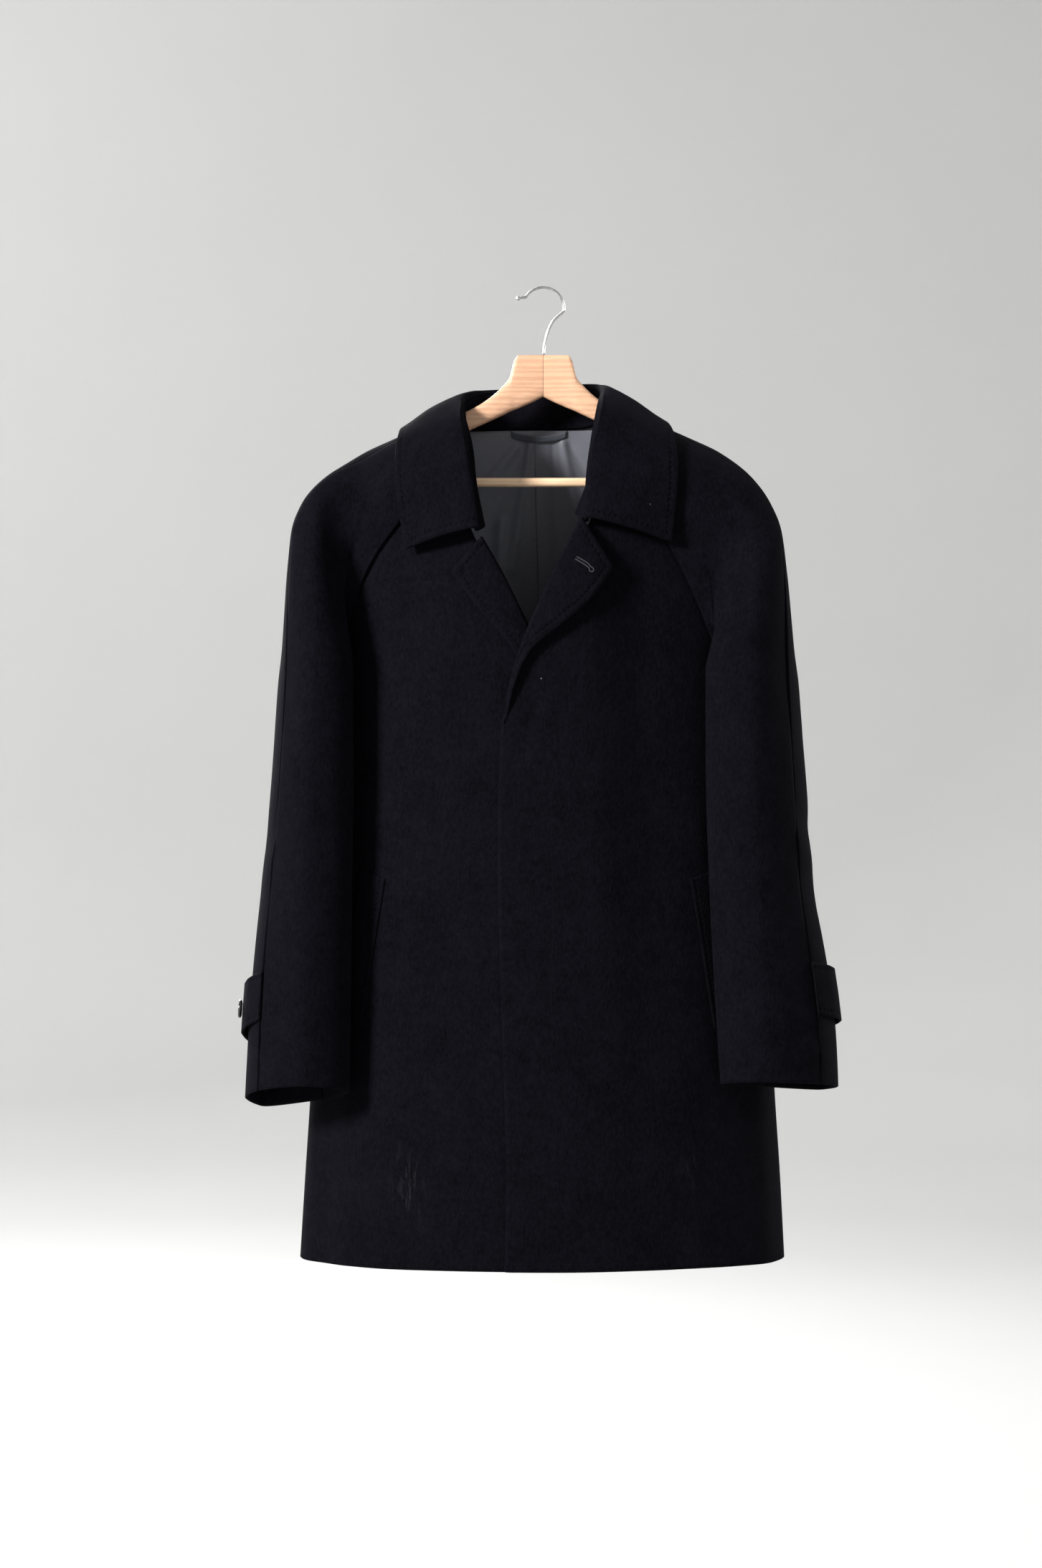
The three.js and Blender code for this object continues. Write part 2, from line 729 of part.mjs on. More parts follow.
function collarAt(share) {
  const c = look(share < 0 ? collarLeft : collarRight, Math.abs(share));
  return { neck: vec(c.nx, c.ny, c.nz), roll: vec(c.rx, c.ry, c.rz), edge: vec(c.ex, c.ey, c.ez) };
}

function collarGrid() {
  const shares = steps(2 * collarRows).map((i) => i / collarRows - 1);
  const columns = shares.map((share) => {
    const { neck, roll, edge } = collarAt(share);
    const before = collarAt(Math.max(-1, share - 0.03)).roll;
    const path = collarAt(Math.min(1, share + 0.03)).roll.sub(before).normalize();
    const middle = neck.clone().lerp(edge, 0.5);
    const tip = roll.clone().sub(middle).normalize();
    const outwards = tip.clone().cross(path).normalize();
    const beside = (side) =>
      roll.clone().addScaledVector(outwards, side * collarTurn).addScaledVector(tip, -0.8 * collarTurn);
    const inside = beside(-1);
    const after = beside(1);
    const lower = after.clone().lerp(edge, 0.5).addScaledVector(outwards, 5);
    const named = [neck, inside, roll, after, lower, edge];
    const curve = new THREE.CatmullRomCurve3(named, false, "centripetal");
    const points = [neck.clone()];
    collarParts.forEach((count, k) => {
      for (let j = 1; j <= count; j += 1) points.push(curve.getPoint((k + j / count) / collarParts.length));
    });
    return points;
  });
  const rows = columns[0].map((_, j) => columns.map((column) => column[j]));
  return { grid: rows, normals: gridNormals(rows) };
}

// How far a point must move to lie a distance off the nearest place of the given walls.
function settling(point, supports, distance) {
  let nearest = Infinity;
  let found;
  supports.forEach(({ grid, normals }) =>
    grid.forEach((row, i) =>
      row.forEach((place, j) => {
        const away = place.distanceToSquared(point);
        if (away < nearest) {
          nearest = away;
          found = { place, normal: normals[i][j] };
        }
      })
    )
  );
  const height = point.clone().sub(found.place).dot(found.normal);
  return found.normal.clone().multiplyScalar(Math.max(0, distance - height));
}

// The same field of vectors with every one averaged with its neighbours.
function averaged(field) {
  const rows = field.length - 1;
  const columns = field[0].length - 1;
  return field.map((row, i) =>
    row.map((vector, j) => {
      const sum = vector.clone().multiplyScalar(2);
      sum.add(field[Math.max(0, i - 1)][j]).add(field[Math.min(rows, i + 1)][j]);
      sum.add(row[Math.max(0, j - 1)]).add(row[Math.min(columns, j + 1)]);
      return sum.divideScalar(6);
    })
  );
}

// Some rows of a grid and its normals.
const rowsOf = ({ grid, normals }, from, to) => ({
  grid: grid.slice(from, to + 1),
  normals: normals.slice(from, to + 1),
});

function addCollar() {
  const whole = collarGrid();
  const supports = [frontGrid(true), frontGrid(false), backGrid(), sleeveGrid(true), sleeveGrid(false)];
  const resting = whole.grid.slice(collarSettled);
  for (let round = 0; round < 3; round += 1) {
    const lifts = resting.map((row) =>
      row.map((point) => settling(point, supports, collarCloth + collarAir))
    );
    const soft = averaged(averaged(lifts));
    resting.forEach((row, i) => row.forEach((point, j) => point.add(soft[i][j])));
  }
  whole.normals = gridNormals(whole.grid);
  addWall("collar_stand", rowsOf(whole, 0, standQuads), collarCloth);
  addWall("collar_fall", rowsOf(whole, standQuads, whole.grid.length - 1), collarCloth);
  addWall("facing_left", lapelGrid(true), lapelCloth);
  addWall("facing_right", lapelGrid(false), lapelCloth);
}

// Lining of the back, with a pleat down its middle, and the loop that bows down from its neck
const liningAir = 1.4; // between coating and lining
const liningColumns = 16;
const liningRows = 15;
const liningPleat = { angle: 90, width: 2.5, depth: 3.5 };

function liningPoint(degrees, z, inwards = 0) {
  const { angle, width, depth } = liningPleat;
  const pleat = depth * bump(angle, width, degrees) * smooth(-700, -300, z);
  return offBody(degrees, z, -cloth - liningAir - pleat - inwards);
}

function liningGrid() {
  const grid = steps(liningRows).map((i) => {
    const z = lerp(hemZ + 30, backNeckZ - 6, i / liningRows);
    const { share: seamShare } = look(backRaglanSeam, z);
    const seamAngle = (Math.acos(Math.min(1, seamShare)) * 180) / Math.PI;
    const start = Math.max(7, seamAngle + 1);
    return steps(liningColumns).map((j) => {
      const share = j / liningColumns;
      return liningPoint(lerp(start, 180 - start, share), z);
    });
  });
  return { grid, normals: gridNormals(grid) };
}

const loop = { left: -35, right: 26, top: -156, sag: 7, width: 6, thickness: 1.4, seat: 1.5, bow: 2.4 };
const loopColumns = 10;

function loopGrid() {
  const grid = [loop.width, 0].map((down) =>
    steps(loopColumns).map((j) => {
      const share = 1 - j / loopColumns;
      const x = lerp(loop.left, loop.right, share);
      const z = loop.top - loop.sag * Math.sin(Math.PI * share) ** 0.6 - down;
      const inwards = loop.seat + loop.bow * Math.sin(Math.PI * share);
      return liningPoint(bodyAngle(x, z, 1), z, inwards);
    })
  );
  return { grid, normals: gridNormals(grid) };
}

function addLining() {
  addWall("lining_back", liningGrid(), liningCloth, liningMaterial);
  addWall("hanger_loop", loopGrid(), loop.thickness, loopMaterial);
}

// Slanted welts of the slash pockets, laid on the fronts
const welt = { length: 160, width: 26, thickness: 2, slant: 26, rise: 9, air: 0.5 };
const weltRows = 8;
const weltColumns = 2;
const weltTops = [
  { name: "pocket_welt_left", x: 156, z: -640, right: true },
  { name: "pocket_welt_right", x: -169, z: -640, right: false },
];

function weltGrid({ x, z, right }) {
  const side = right ? 1 : -1;
  const grid = steps(weltRows).map((i) => {
    const down = 1 - i / weltRows;
    const row = steps(weltColumns).map((j) => {
      const over = j / weltColumns;
      const px = x + side * (welt.slant * down + welt.width * over);
      const pz = z - welt.length * down + welt.rise * over;
      return offBody(bodyAngle(px, pz, -1), pz, welt.thickness + welt.air);
    });
    return right ? row : row.reverse();
  });
  return { grid, normals: gridNormals(grid) };
}

function addPockets() {
  weltTops.forEach((place) => addWall(place.name, weltGrid(place), welt.thickness));
}

// Straps of the cuffs: they leave the outer seam and go round to the back, each closed by a button
const strapThickness = 3;
const strapRows = 4;
const strapColumns = 8;
const strapAir = { ends: 0.8, bow: 4.5 }; // under its ends, and more under its middle
const straps = [
  { side: "left", right: true, top: -734, bottom: -789, drop: 9, reach: 4.4, button: 0.8 },
  { side: "right", right: false, top: -748, bottom: -800, drop: 13, reach: 4.2, button: 0.52 },
];

// A place of a grid between its points, and the normal there.
function placeOn({ grid, normals }, i, j) {
  const [a, b] = [Math.floor(i), Math.floor(j)];
  const mix = (field) => {
    const low = field[a][b].clone().lerp(field[a][b + 1], j - b);
    const high = field[a + 1][b].clone().lerp(field[a + 1][b + 1], j - b);
    return low.lerp(high, i - a);
  };
  return { point: mix(grid), normal: mix(normals).normalize() };
}

// A place of a strap: share 0 at the seam and 1 at its end, up 0 at its lower edge and 1 at its upper.
function strapPlace(strap, sleeve, share, up) {
  const last = sleeve.grid[0].length - 1;
  const column = frontQuads + strap.reach * share;
  const z = lerp(strap.bottom, strap.top, up) - strap.drop * share;
  const [lowest, highest] = [armRowZ(0, strap.right), armRowZ(sleeveRows, strap.right)];
  const row = (sleeveRows * (z - lowest)) / (highest - lowest);
  const { point, normal } = placeOn(sleeve, row, strap.right ? column : last - column);
  const lift = strapThickness + strapAir.ends + strapAir.bow * Math.sin(Math.PI * share) ** 0.8;
  return { point: point.addScaledVector(normal, lift), normal };
}

function strapGrid(strap, sleeve) {
  const grid = steps(strapRows).map((i) => {
    const row = steps(strapColumns).map((j) => {
      return strapPlace(strap, sleeve, j / strapColumns, i / strapRows).point;
    });
    return strap.right ? row : row.reverse();
  });
  return { grid, normals: gridNormals(grid) };
}

// Four-hole button with a raised rim, its axis along +Y
const button = { radius: 10, height: 3.8, rim: 1.5, dish: 1.1, hole: 1, spread: 2.3, air: 0.7 };

function toSolid(geometry) {
  const bare = new THREE.BufferGeometry();
  bare.setAttribute("position", geometry.toNonIndexed().getAttribute("position"));
  const merged = mergeVertices(bare, 1e-4);
  return new wasm.Manifold(
    new wasm.Mesh({
      numProp: 3,
      vertProperties: merged.attributes.position.array,
      triVerts: new Uint32Array(merged.index.array),
    })
  );
}

function toGeometry(solid) {
  const mesh = solid.getMesh();
  const geometry = new THREE.BufferGeometry();
  geometry.setAttribute("position", new THREE.BufferAttribute(mesh.vertProperties, 3));
  geometry.setIndex(new THREE.BufferAttribute(mesh.triVerts, 1));
  geometry.computeVertexNormals();
  return geometry;
}

function buttonGeometry() {
  const { radius, height, rim, dish, hole, spread } = button;
  const profile = [
    [0, 0],
    [radius * 0.7, 0],
    [radius * 0.95, height * 0.35],
    [radius, height * 0.62],
    [radius - rim * 0.45, height],
    [radius - rim, height * 0.96],
    [radius - rim * 1.9, height - dish],
    [0, height - dish],
  ].map(([x, y]) => new THREE.Vector2(x, y));
  let body = toSolid(new THREE.LatheGeometry(profile, 28));
  [45, 135, 225, 315].forEach((degrees) => {
    const angle = radians(degrees);
    const drill = new THREE.CylinderGeometry(hole, hole, 3 * height, 10);
    drill.translate(spread * Math.cos(angle), 0, spread * Math.sin(angle));
    body = body.subtract(toSolid(drill));
  });
  return toGeometry(body);
}

function addCuffs() {
  const up = vec(0, 1, 0);
  straps.forEach((strap) => {
    const sleeve = sleeveGrid(strap.right);
    addWall("cuff_strap_" + strap.side, strapGrid(strap, sleeve), strapThickness);
    const { point, normal } = strapPlace(strap, sleeve, strap.button, 0.5);
    const turn = new THREE.Quaternion().setFromUnitVectors(up, normal);
    const geometry = buttonGeometry().applyQuaternion(turn);
    geometry.translate(...point.addScaledVector(normal, button.air).toArray());
    add("cuff_button_" + strap.side, geometry, buttonMaterial);
  });
}

// Hanger: a shaped wooden bow, a round trouser bar let into its ends and a wire hook
const bow = table(
  ["x", "top", "bottom", "thick"],
  [
    [0, -72, -117.5, 13],
    [14, -72, -124.5, 13],
    [28, -72.3, -130.5, 13],
    [32, -79, -132, 13],
    [36, -95, -133.8, 13],
    [43, -105, -137.2, 13],
    [57, -118, -143.8, 13],
    [75, -129.6, -152, 13],
    [118, -149.6, -172.5, 13.5],
    [157, -167.2, -193, 14],
    [190, -184.8, -214.5, 14.5],
    [203, -194.5, -222, 14],
    [211, -204, -221.5, 12],
    [214.5, -209, -217.5, 7],
  ]
);
const bowSides = 14;
const bowBetween = [96, 137, 174]; // further sections where the table's are far apart
const sweep = (x) => -11 * (Math.abs(x) / 210) ** 1.5; // the arms come forward

// A closed body through rings of points, its two ends closed round their middles.
function loft(rings) {
  const count = rings[0].length;
  const middle = (ring) => ring.reduce((sum, p) => sum.add(p), vec(0, 0, 0)).divideScalar(count);
  const points = [...rings.flat(), middle(rings[0]), middle(rings[rings.length - 1])];
  const index = [];
  const first = rings.length * count;
  steps(count - 1).forEach((j) => {
    const k = (j + 1) % count;
    for (let i = 0; i < rings.length - 1; i += 1) {
      const [a, b] = [i * count, (i + 1) * count];
      index.push(a + j, a + k, b + k, a + j, b + k, b + j);
    }
    const last = (rings.length - 1) * count;
    index.push(first, k, j, first + 1, last + j, last + k);
  });
  const geometry = new THREE.BufferGeometry().setFromPoints(points);
  geometry.setIndex(index);
  return facingOut(geometry);
}

function bowRing(x) {
  const { top, bottom, thick } = look(bow, Math.abs(x));
  return steps(bowSides - 1).map((k) => {
    const angle = (2 * Math.PI * (k + 0.5)) / bowSides;
    const [c, s] = [Math.cos(angle), Math.sin(angle)];
    const soft = (value) => Math.sign(value) * Math.abs(value) ** (2 / 2.7);
    return vec(x, sweep(x) + (thick / 2) * soft(c), (top + bottom) / 2 + ((top - bottom) / 2) * soft(s));
  });
}

const bar = { radius: 5, z: -211.6, half: 205.5, sides: 16 };

function rod(radius, half) {
  return loft(
    [-half, half].map((x) =>
      steps(bar.sides - 1).map((k) => {
        const angle = (2 * Math.PI * k) / bar.sides;
        return vec(x, sweep(half) + radius * Math.cos(angle), bar.z + radius * Math.sin(angle));
      })
    )
  );
}

const hook = { wire: 1.5, bend: 22.5, ball: 2.6, sides: 8, rings: 34 };

// The wire's path: it leans out of the bow, goes round the bend and ends in a flared tip.
function hookPath() {
  const stem = [
    [0.3, -71.6],
    [1.6, -60],
    [5.2, -46],
    [10.5, -35.5],
    [17.5, -28.5],
  ];
  const centreZ = -(hook.bend - hook.wire);
  const arc = steps(16).map((k) => {
    const angle = radians(lerp(-8, 148, k / 16));
    return [hook.bend * Math.cos(angle), centreZ + hook.bend * Math.sin(angle)];
  });
  const tip = [
    [-22.6, -9.4],
    [-24.6, -9.8],
  ];
  return [...stem, ...arc, ...tip].map(([x, z]) => vec(x, 0, z));
}

function hookGeometry() {
  const path = new THREE.CatmullRomCurve3(hookPath(), false, "centripetal");
  const ring = (centre, tangent, radius) => {
    const across = vec(tangent.z, 0, -tangent.x);
    return steps(hook.sides - 1).map((k) => {
      const angle = (2 * Math.PI * k) / hook.sides;
      const point = centre.clone().addScaledVector(across, radius * Math.cos(angle));
      point.y += radius * Math.sin(angle);
      return point;
    });
  };
  const rings = steps(hook.rings).map((k) =>
    ring(path.getPointAt(k / hook.rings), path.getTangentAt(k / hook.rings), hook.wire)
  );
  const end = path.getPointAt(1);
  const ahead = path.getTangentAt(1);
  [40, 70, 100, 130, 155].forEach((degrees) => {
    const angle = radians(degrees);
    const centre = end.clone().addScaledVector(ahead, hook.ball * (1 - Math.cos(angle)));
    rings.push(ring(centre, ahead, hook.ball * Math.sin(angle)));
  });
  return loft(rings);
}

function addHanger() {
  const stations = [...bow.rows.map(([x]) => x), ...bowBetween].sort((a, b) => a - b);
  const all = [...stations.slice(1).map((x) => -x).reverse(), ...stations];
  const drill = toSolid(rod(bar.radius + seam, bar.half + seam));
  const middle = new THREE.BoxGeometry(340, 60, 60).translate(0, 0, bar.z);
  const sockets = drill.subtract(toSolid(middle));
  const wood = toSolid(loft(all.map(bowRing))).subtract(sockets);
  add("hanger_wood", toGeometry(wood), woodMaterial);
  add("hanger_bar", rod(bar.radius, bar.half), barMaterial);
  add("hanger_hook", hookGeometry(), steelMaterial);
}

addBody();
addSleeves();
addCollar();
addLining();
addPockets();
addCuffs();
addHanger();

export default coat;
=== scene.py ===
# %% [markdown]
# # A raglan wool overcoat on a wooden hanger
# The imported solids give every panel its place. This lesson works each panel out again as a finer
# surface from the same sizes, adds creases, stitches and buttonhole, and gives all of it a finish.
# Lengths are millimetres until a mesh is written, which is in metres.
# %% The frame and its box
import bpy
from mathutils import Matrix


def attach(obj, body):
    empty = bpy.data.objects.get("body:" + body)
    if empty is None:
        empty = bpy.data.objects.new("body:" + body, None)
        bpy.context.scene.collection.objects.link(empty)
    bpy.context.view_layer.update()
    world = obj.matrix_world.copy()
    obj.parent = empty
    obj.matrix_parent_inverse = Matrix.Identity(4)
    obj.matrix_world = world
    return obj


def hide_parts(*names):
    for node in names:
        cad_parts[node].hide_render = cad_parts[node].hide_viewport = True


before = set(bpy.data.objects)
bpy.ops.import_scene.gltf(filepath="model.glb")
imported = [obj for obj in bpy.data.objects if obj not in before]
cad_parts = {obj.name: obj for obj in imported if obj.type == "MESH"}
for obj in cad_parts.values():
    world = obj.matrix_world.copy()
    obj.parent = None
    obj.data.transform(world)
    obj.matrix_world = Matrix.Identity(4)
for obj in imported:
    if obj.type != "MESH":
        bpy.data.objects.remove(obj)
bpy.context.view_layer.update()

import math
import bpy
import mathutils
import numpy as np

MM = 0.001

# %% [markdown]
# ## Small mathematics
# A garment is described by short tables of sections. `look` reads a column of such a table at any
# place, on a cubic that passes through all rows, so a few rows are enough for a smooth surface.
# %% Small mathematics


def lerp(a, b, t):
    """Value a share t of the way from a to b."""
    return a + (b - a) * t


def smooth(start, end, value):
    """0 before start, 1 after end, and the soft step 3t^2 - 2t^3 between."""
    t = np.clip((value - start) / (end - start), 0, 1)
    return t * t * (3 - 2 * t)


def bump(centre, width, value):
    """Bell curve exp(-((value - centre) / width)^2)."""
    return np.exp(-(((value - centre) / width) ** 2))


def unit(v):
    """Vectors of length one."""
    return v / np.maximum(np.linalg.norm(v, axis=-1, keepdims=True), 1e-9)


def table(names, rows):
    """Columns of a table by name, rows sorted by the first column, which is stored as key too."""
    a = np.array(sorted(rows), float)
    columns = {name: a[:, i] for i, name in enumerate(names)}
    columns["key"] = a[:, 0]
    return columns


def look(columns, name, key):
    """Column name at key: a cubic through the rows, sloped like the line between neighbours."""
    x, y = columns["key"], columns[name]
    last = len(x) - 1
    low, high = np.maximum(np.arange(last + 1) - 1, 0), np.minimum(np.arange(last + 1) + 1, last)
    slope = (y[high] - y[low]) / (x[high] - x[low])
    key = np.clip(key, x[0], x[-1])
    k = np.clip(np.searchsorted(x, key, side="left") - 1, 0, last - 1)
    width = x[k + 1] - x[k]
    t = (key - x[k]) / width
    p, q, m, n = y[k], y[k + 1], slope[k] * width, slope[k + 1] * width
    return p + m * t + (3 * (q - p) - 2 * m - n) * t**2 + (2 * (p - q) + m + n) * t**3


def vec(x, y, z):
    """Points from coordinates that may be numbers or arrays."""
    return np.stack(np.broadcast_arrays(x, y, z), axis=-1).astype(float)


def grid_normals(grid):
    """Unit normals of a grid: the step along a row crossed with the step up a column."""
    along = np.gradient(grid, axis=1)
    up = np.gradient(grid, axis=0)
    return unit(np.cross(along, up))


def curve_through(points, at):
    """Centripetal Catmull-Rom curve through the points of each row, read at fractional places."""
    first = 2 * points[:, :1] - points[:, 1:2]
    end = 2 * points[:, -1:] - points[:, -2:-1]
    p = np.concatenate([first, points, end], axis=1)
    k = np.clip(np.floor(at).astype(int), 0, points.shape[1] - 2)
    t = (at - k)[None, :, None]
    p0, p1, p2, p3 = (p[:, k + n] for n in range(4))
    gap = [np.maximum(np.linalg.norm(b - a, axis=-1, keepdims=True), 1e-6) ** 0.5
           for a, b in ((p0, p1), (p1, p2), (p2, p3))]
    m1 = gap[1] * ((p1 - p0) / gap[0] - (p2 - p0) / (gap[0] + gap[1]) + (p2 - p1) / gap[1])
    m2 = gap[1] * ((p2 - p1) / gap[1] - (p3 - p1) / (gap[1] + gap[2]) + (p3 - p2) / gap[2])
    return p1 + m1 * t + (3 * (p2 - p1) - 2 * m1 - m2) * t**2 + (2 * (p1 - p2) + m1 + m2) * t**3


def steady_through(points, at):
    """Cubic up the columns of a grid that never swings past its points: slopes are harmonic means."""
    chord = np.linalg.norm(np.diff(points, axis=0), axis=-1).mean(axis=1)
    x = np.concatenate([[0], np.cumsum(chord)])
    d = np.diff(points, axis=0) / chord[:, None, None]
    inner = np.where(d[:-1] * d[1:] > 0, 2 * d[:-1] * d[1:] / (d[:-1] + d[1:] + 1e-12), 0)
    slope = np.concatenate([d[:1], inner, d[-1:]], axis=0)
    k = np.clip(np.floor(at).astype(int), 0, len(x) - 2)
    t = (at - k)[:, None, None]
    w = chord[k][:, None, None]
    p, q, m, n = points[k], points[k + 1], slope[k] * w, slope[k + 1] * w
    return p + m * t + (3 * (q - p) - 2 * m - n) * t**2 + (2 * (p - q) + m + n) * t**3


def refined(grid, up, along):
    """A coarse grid with `up` and `along` steps in each of its quads, on smooth curves both ways."""
    places = np.arange((grid.shape[1] - 1) * along + 1) / along
    heights = np.arange((grid.shape[0] - 1) * up + 1) / up
    return steady_through(curve_through(grid, places), heights)


# %% [markdown]
# ## From a surface to a piece of cloth
# Every panel is a thin closed shell: its outer face is the worked-out grid, its inner face is the
# same grid moved in by the cloth's thickness, and a strip joins them. On a finished edge the strip
# bulges, as folded and pressed cloth does. Three values are stored at each point for the finish:
# the distance from stitched edges, the length along them, and the distance from seams.
# %% Meshes


def make_object(name, points, faces, material, uv=None, attributes=None):
    """A smooth-shaded mesh object on the root body, from points in millimetres and faces."""
    mesh = bpy.data.meshes.new(name)
    sizes = np.concatenate([np.full(len(f), f.shape[1]) for f in faces])
    loops = np.concatenate([f.ravel() for f in faces])
    mesh.vertices.add(len(points))
    mesh.vertices.foreach_set("co", (points * MM).astype(np.float32).ravel())
    mesh.loops.add(len(loops))
    mesh.loops.foreach_set("vertex_index", loops.astype(np.int32))
    mesh.polygons.add(len(sizes))
    mesh.polygons.foreach_set("loop_start", np.concatenate([[0], np.cumsum(sizes)[:-1]]).astype(np.int32))
    mesh.polygons.foreach_set("loop_total", sizes.astype(np.int32))
    mesh.update(calc_edges=True)
    mesh.validate()
    mesh.shade_smooth()
    if uv is not None:
        layer = mesh.uv_layers.new(name="cloth")
        layer.data.foreach_set("uv", (uv[loops] * MM).astype(np.float32).ravel())
    for key, values in (attributes or {}).items():
        mesh.attributes.new(key, "FLOAT", "POINT").data.foreach_set("value", values.astype(np.float32))
    mesh.materials.append(material)
    made = bpy.data.objects.new(name, mesh)
    bpy.context.scene.collection.objects.link(made)
    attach(made, "root")
    return made


def grid_faces(rows, columns, first=0, turned=False):
    """Quads of a grid of points stored row by row, wound the other way when turned."""
    i, j = np.meshgrid(np.arange(rows - 1), np.arange(columns - 1), indexing="ij")
    a = (first + i * columns + j).ravel()
    quads = np.stack([a, a + 1, a + columns + 1, a + columns], axis=1)
    return quads[:, ::-1] if turned else quads


def lengths(grid):
    """Distances along the rows and up the columns of a grid, from its first column and row."""
    along = np.zeros(grid.shape[:2])
    up = np.zeros(grid.shape[:2])
    along[:, 1:] = np.cumsum(np.linalg.norm(np.diff(grid, axis=1), axis=-1), axis=1)
    up[1:] = np.cumsum(np.linalg.norm(np.diff(grid, axis=0), axis=-1), axis=0)
    return along, up


FAR = 60.0


def border_distances(grid, sides):
    """Distance of each point from the nearest named side of its grid, and the length along that side."""
    along, up = lengths(grid)
    choices = {
        "l": (along, up),
        "r": (along[:, -1:] - along, up),
        "b": (up, along),
        "t": (up[-1:] - up, along),
    }
    distance = np.full(grid.shape[:2], FAR)
    run = up.copy()
    for side in sides:
        away, length = choices[side]
        run = np.where(away < distance, length, run)
        distance = np.minimum(distance, away)
    return distance, run


def border_loop(rows, columns):
    """Indices of a grid's border anticlockwise, and of the points just inside them."""
    i = np.concatenate([np.zeros(columns - 1), np.arange(rows - 1), np.full(columns - 1, rows - 1),
                        np.arange(rows - 1, 0, -1)]).astype(int)
    j = np.concatenate([np.arange(columns - 1), np.full(rows - 1, columns - 1),
                        np.arange(columns - 1, 0, -1), np.zeros(rows - 1)]).astype(int)
    inside = np.clip(i, 1, rows - 2) * columns + np.clip(j, 1, columns - 2)
    return i, j, i * columns + j, inside


def shell(name, grid, thickness, material, free="", stitched="", normals=None):
    """A closed wall of cloth. free names the sides that end in a folded edge: b, t, l and r."""
    rows, columns = grid.shape[:2]
    count = rows * columns
    if normals is None:
        normals = grid_normals(grid)
    outer = grid.reshape(-1, 3).copy()
    inner = (grid - thickness * normals).reshape(-1, 3)
    i, j, border, inside = border_loop(rows, columns)
    away = unit(outer[border] - outer[inside])
    on_free = np.zeros(len(border), bool)
    for side, hit in (("b", i == 0), ("t", i == rows - 1), ("l", j == 0), ("r", j == columns - 1)):
        if side in free:
            on_free |= hit
    middle = (outer[border] + inner[border]) / 2 + away * np.where(on_free, 0.3 * thickness, 0)[:, None]
    outer[border] -= 0.15 * away
    inner[border] -= 0.15 * away
    after = np.roll(np.arange(len(border)), -1)
    mid = 2 * count + np.arange(len(border))
    strip_one = np.stack([border[after], border, mid, mid[after]], axis=1)
    strip_two = np.stack([mid[after], mid, count + border, count + border[after]], axis=1)
    faces = np.concatenate([
        grid_faces(rows, columns),
        grid_faces(rows, columns, count, turned=True),
        strip_one,
        strip_two,
    ])
    edge, run = border_distances(grid, stitched)
    sewn, _ = border_distances(grid, [s for s in "bltr" if s not in free])
    along, up = lengths(grid)
    uv = np.stack([along, up], axis=-1).reshape(-1, 2)
    spread = lambda field: np.concatenate([field.ravel(), field.ravel(), field.ravel()[border]])
    made = make_object(
        name, np.concatenate([outer, inner, middle]), [faces], material,
        uv=np.concatenate([uv, uv, uv[border]]),
        attributes={"edge": spread(edge), "run": spread(run), "sewn": spread(sewn)},
    )
    quads = len(faces)
    print(name, quads, "quads")
    return made


def area_of(grid):
    """Area of a grid of points, from the cross products of its quads' diagonals."""
    a = grid[1:, 1:] - grid[:-1, :-1]
    b = grid[1:, :-1] - grid[:-1, 1:]
    return float(np.linalg.norm(np.cross(a, b), axis=-1).sum() / 2)


def declare(piece, grid, node=None):
    """Prints a piece's cut: as wide and long as its surface, with the area that the surface has, and hides the solid
    it stands for.
    """
    along, up = lengths(grid)
    width, length = along[:, -1].max() * MM, up[-1].max() * MM
    area = min(area_of(grid) * MM * MM, width * length)
    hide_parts(node or piece.name.replace("cloth_", ""))
    print("   cut", round(width, 3), "x", round(length, 3), "m, area", round(area, 4), "m2")


# %% [markdown]
# ## Finishes
# Each effect is a node group that gives only colours, masks and heights, so that it can be used
# again. The nap of the coating is a fine noise drawn out downwards, over slow clouds of tone where
# the pile lies differently. Sheen, which makes wool pale at grazing angles, is set on the shader.
# %% Node helpers


class Graph:
    """A node tree with short calls: each adds one node and returns the output asked for."""

    def __init__(self, tree):
        self.tree = tree

    def node(self, kind, inputs=None, out=0, **settings):
        made = self.tree.nodes.new(kind)
        for key, value in settings.items():
            setattr(made, key, value)
        for key, value in (inputs or {}).items():
            socket = made.inputs[key]
            if isinstance(value, bpy.types.NodeSocket):
                self.tree.links.new(value, socket)
            else:
                socket.default_value = value
        return made.outputs[out]

    def math(self, operation, *values):
        return self.node("ShaderNodeMath", dict(enumerate(values)), operation=operation)

    def noise(self, vector, scale, detail=3.0, roughness=0.6):
        return self.node("ShaderNodeTexNoise", {"Vector": vector, "Scale": scale, "Detail": detail,
                                                "Roughness": roughness})

    def stretched(self, vector, scale):
        return self.node("ShaderNodeMapping", {"Vector": vector, "Scale": scale})

    def ramp(self, value, start, end, low=0.0, high=1.0):
        return self.node("ShaderNodeMapRange", {"Value": value, "From Min": start, "From Max": end,
                                                "To Min": low, "To Max": high}, clamp=True)

    def mix(self, share, a, b):
        made = self.tree.nodes.new("ShaderNodeMix")
        made.data_type = "RGBA"
        for key, value in ((0, share), (6, a), (7, b)):
            if isinstance(value, bpy.types.NodeSocket):
                self.tree.links.new(value, made.inputs[key])
            else:
                made.inputs[key].default_value = value
        return made.outputs[2]


def group(name, inputs, outputs):
    """A shader node group with its sockets; returns its graph, its input node and its output node."""
    tree = bpy.data.node_groups.new(name, "ShaderNodeTree")
    for socket, kind, value in inputs:
        made = tree.interface.new_socket(socket, in_out="INPUT", socket_type=kind)
        made.default_value = value
    for socket, kind in outputs:
        tree.interface.new_socket(socket, in_out="OUTPUT", socket_type=kind)
    return Graph(tree), tree.nodes.new("NodeGroupInput"), tree.nodes.new("NodeGroupOutput")


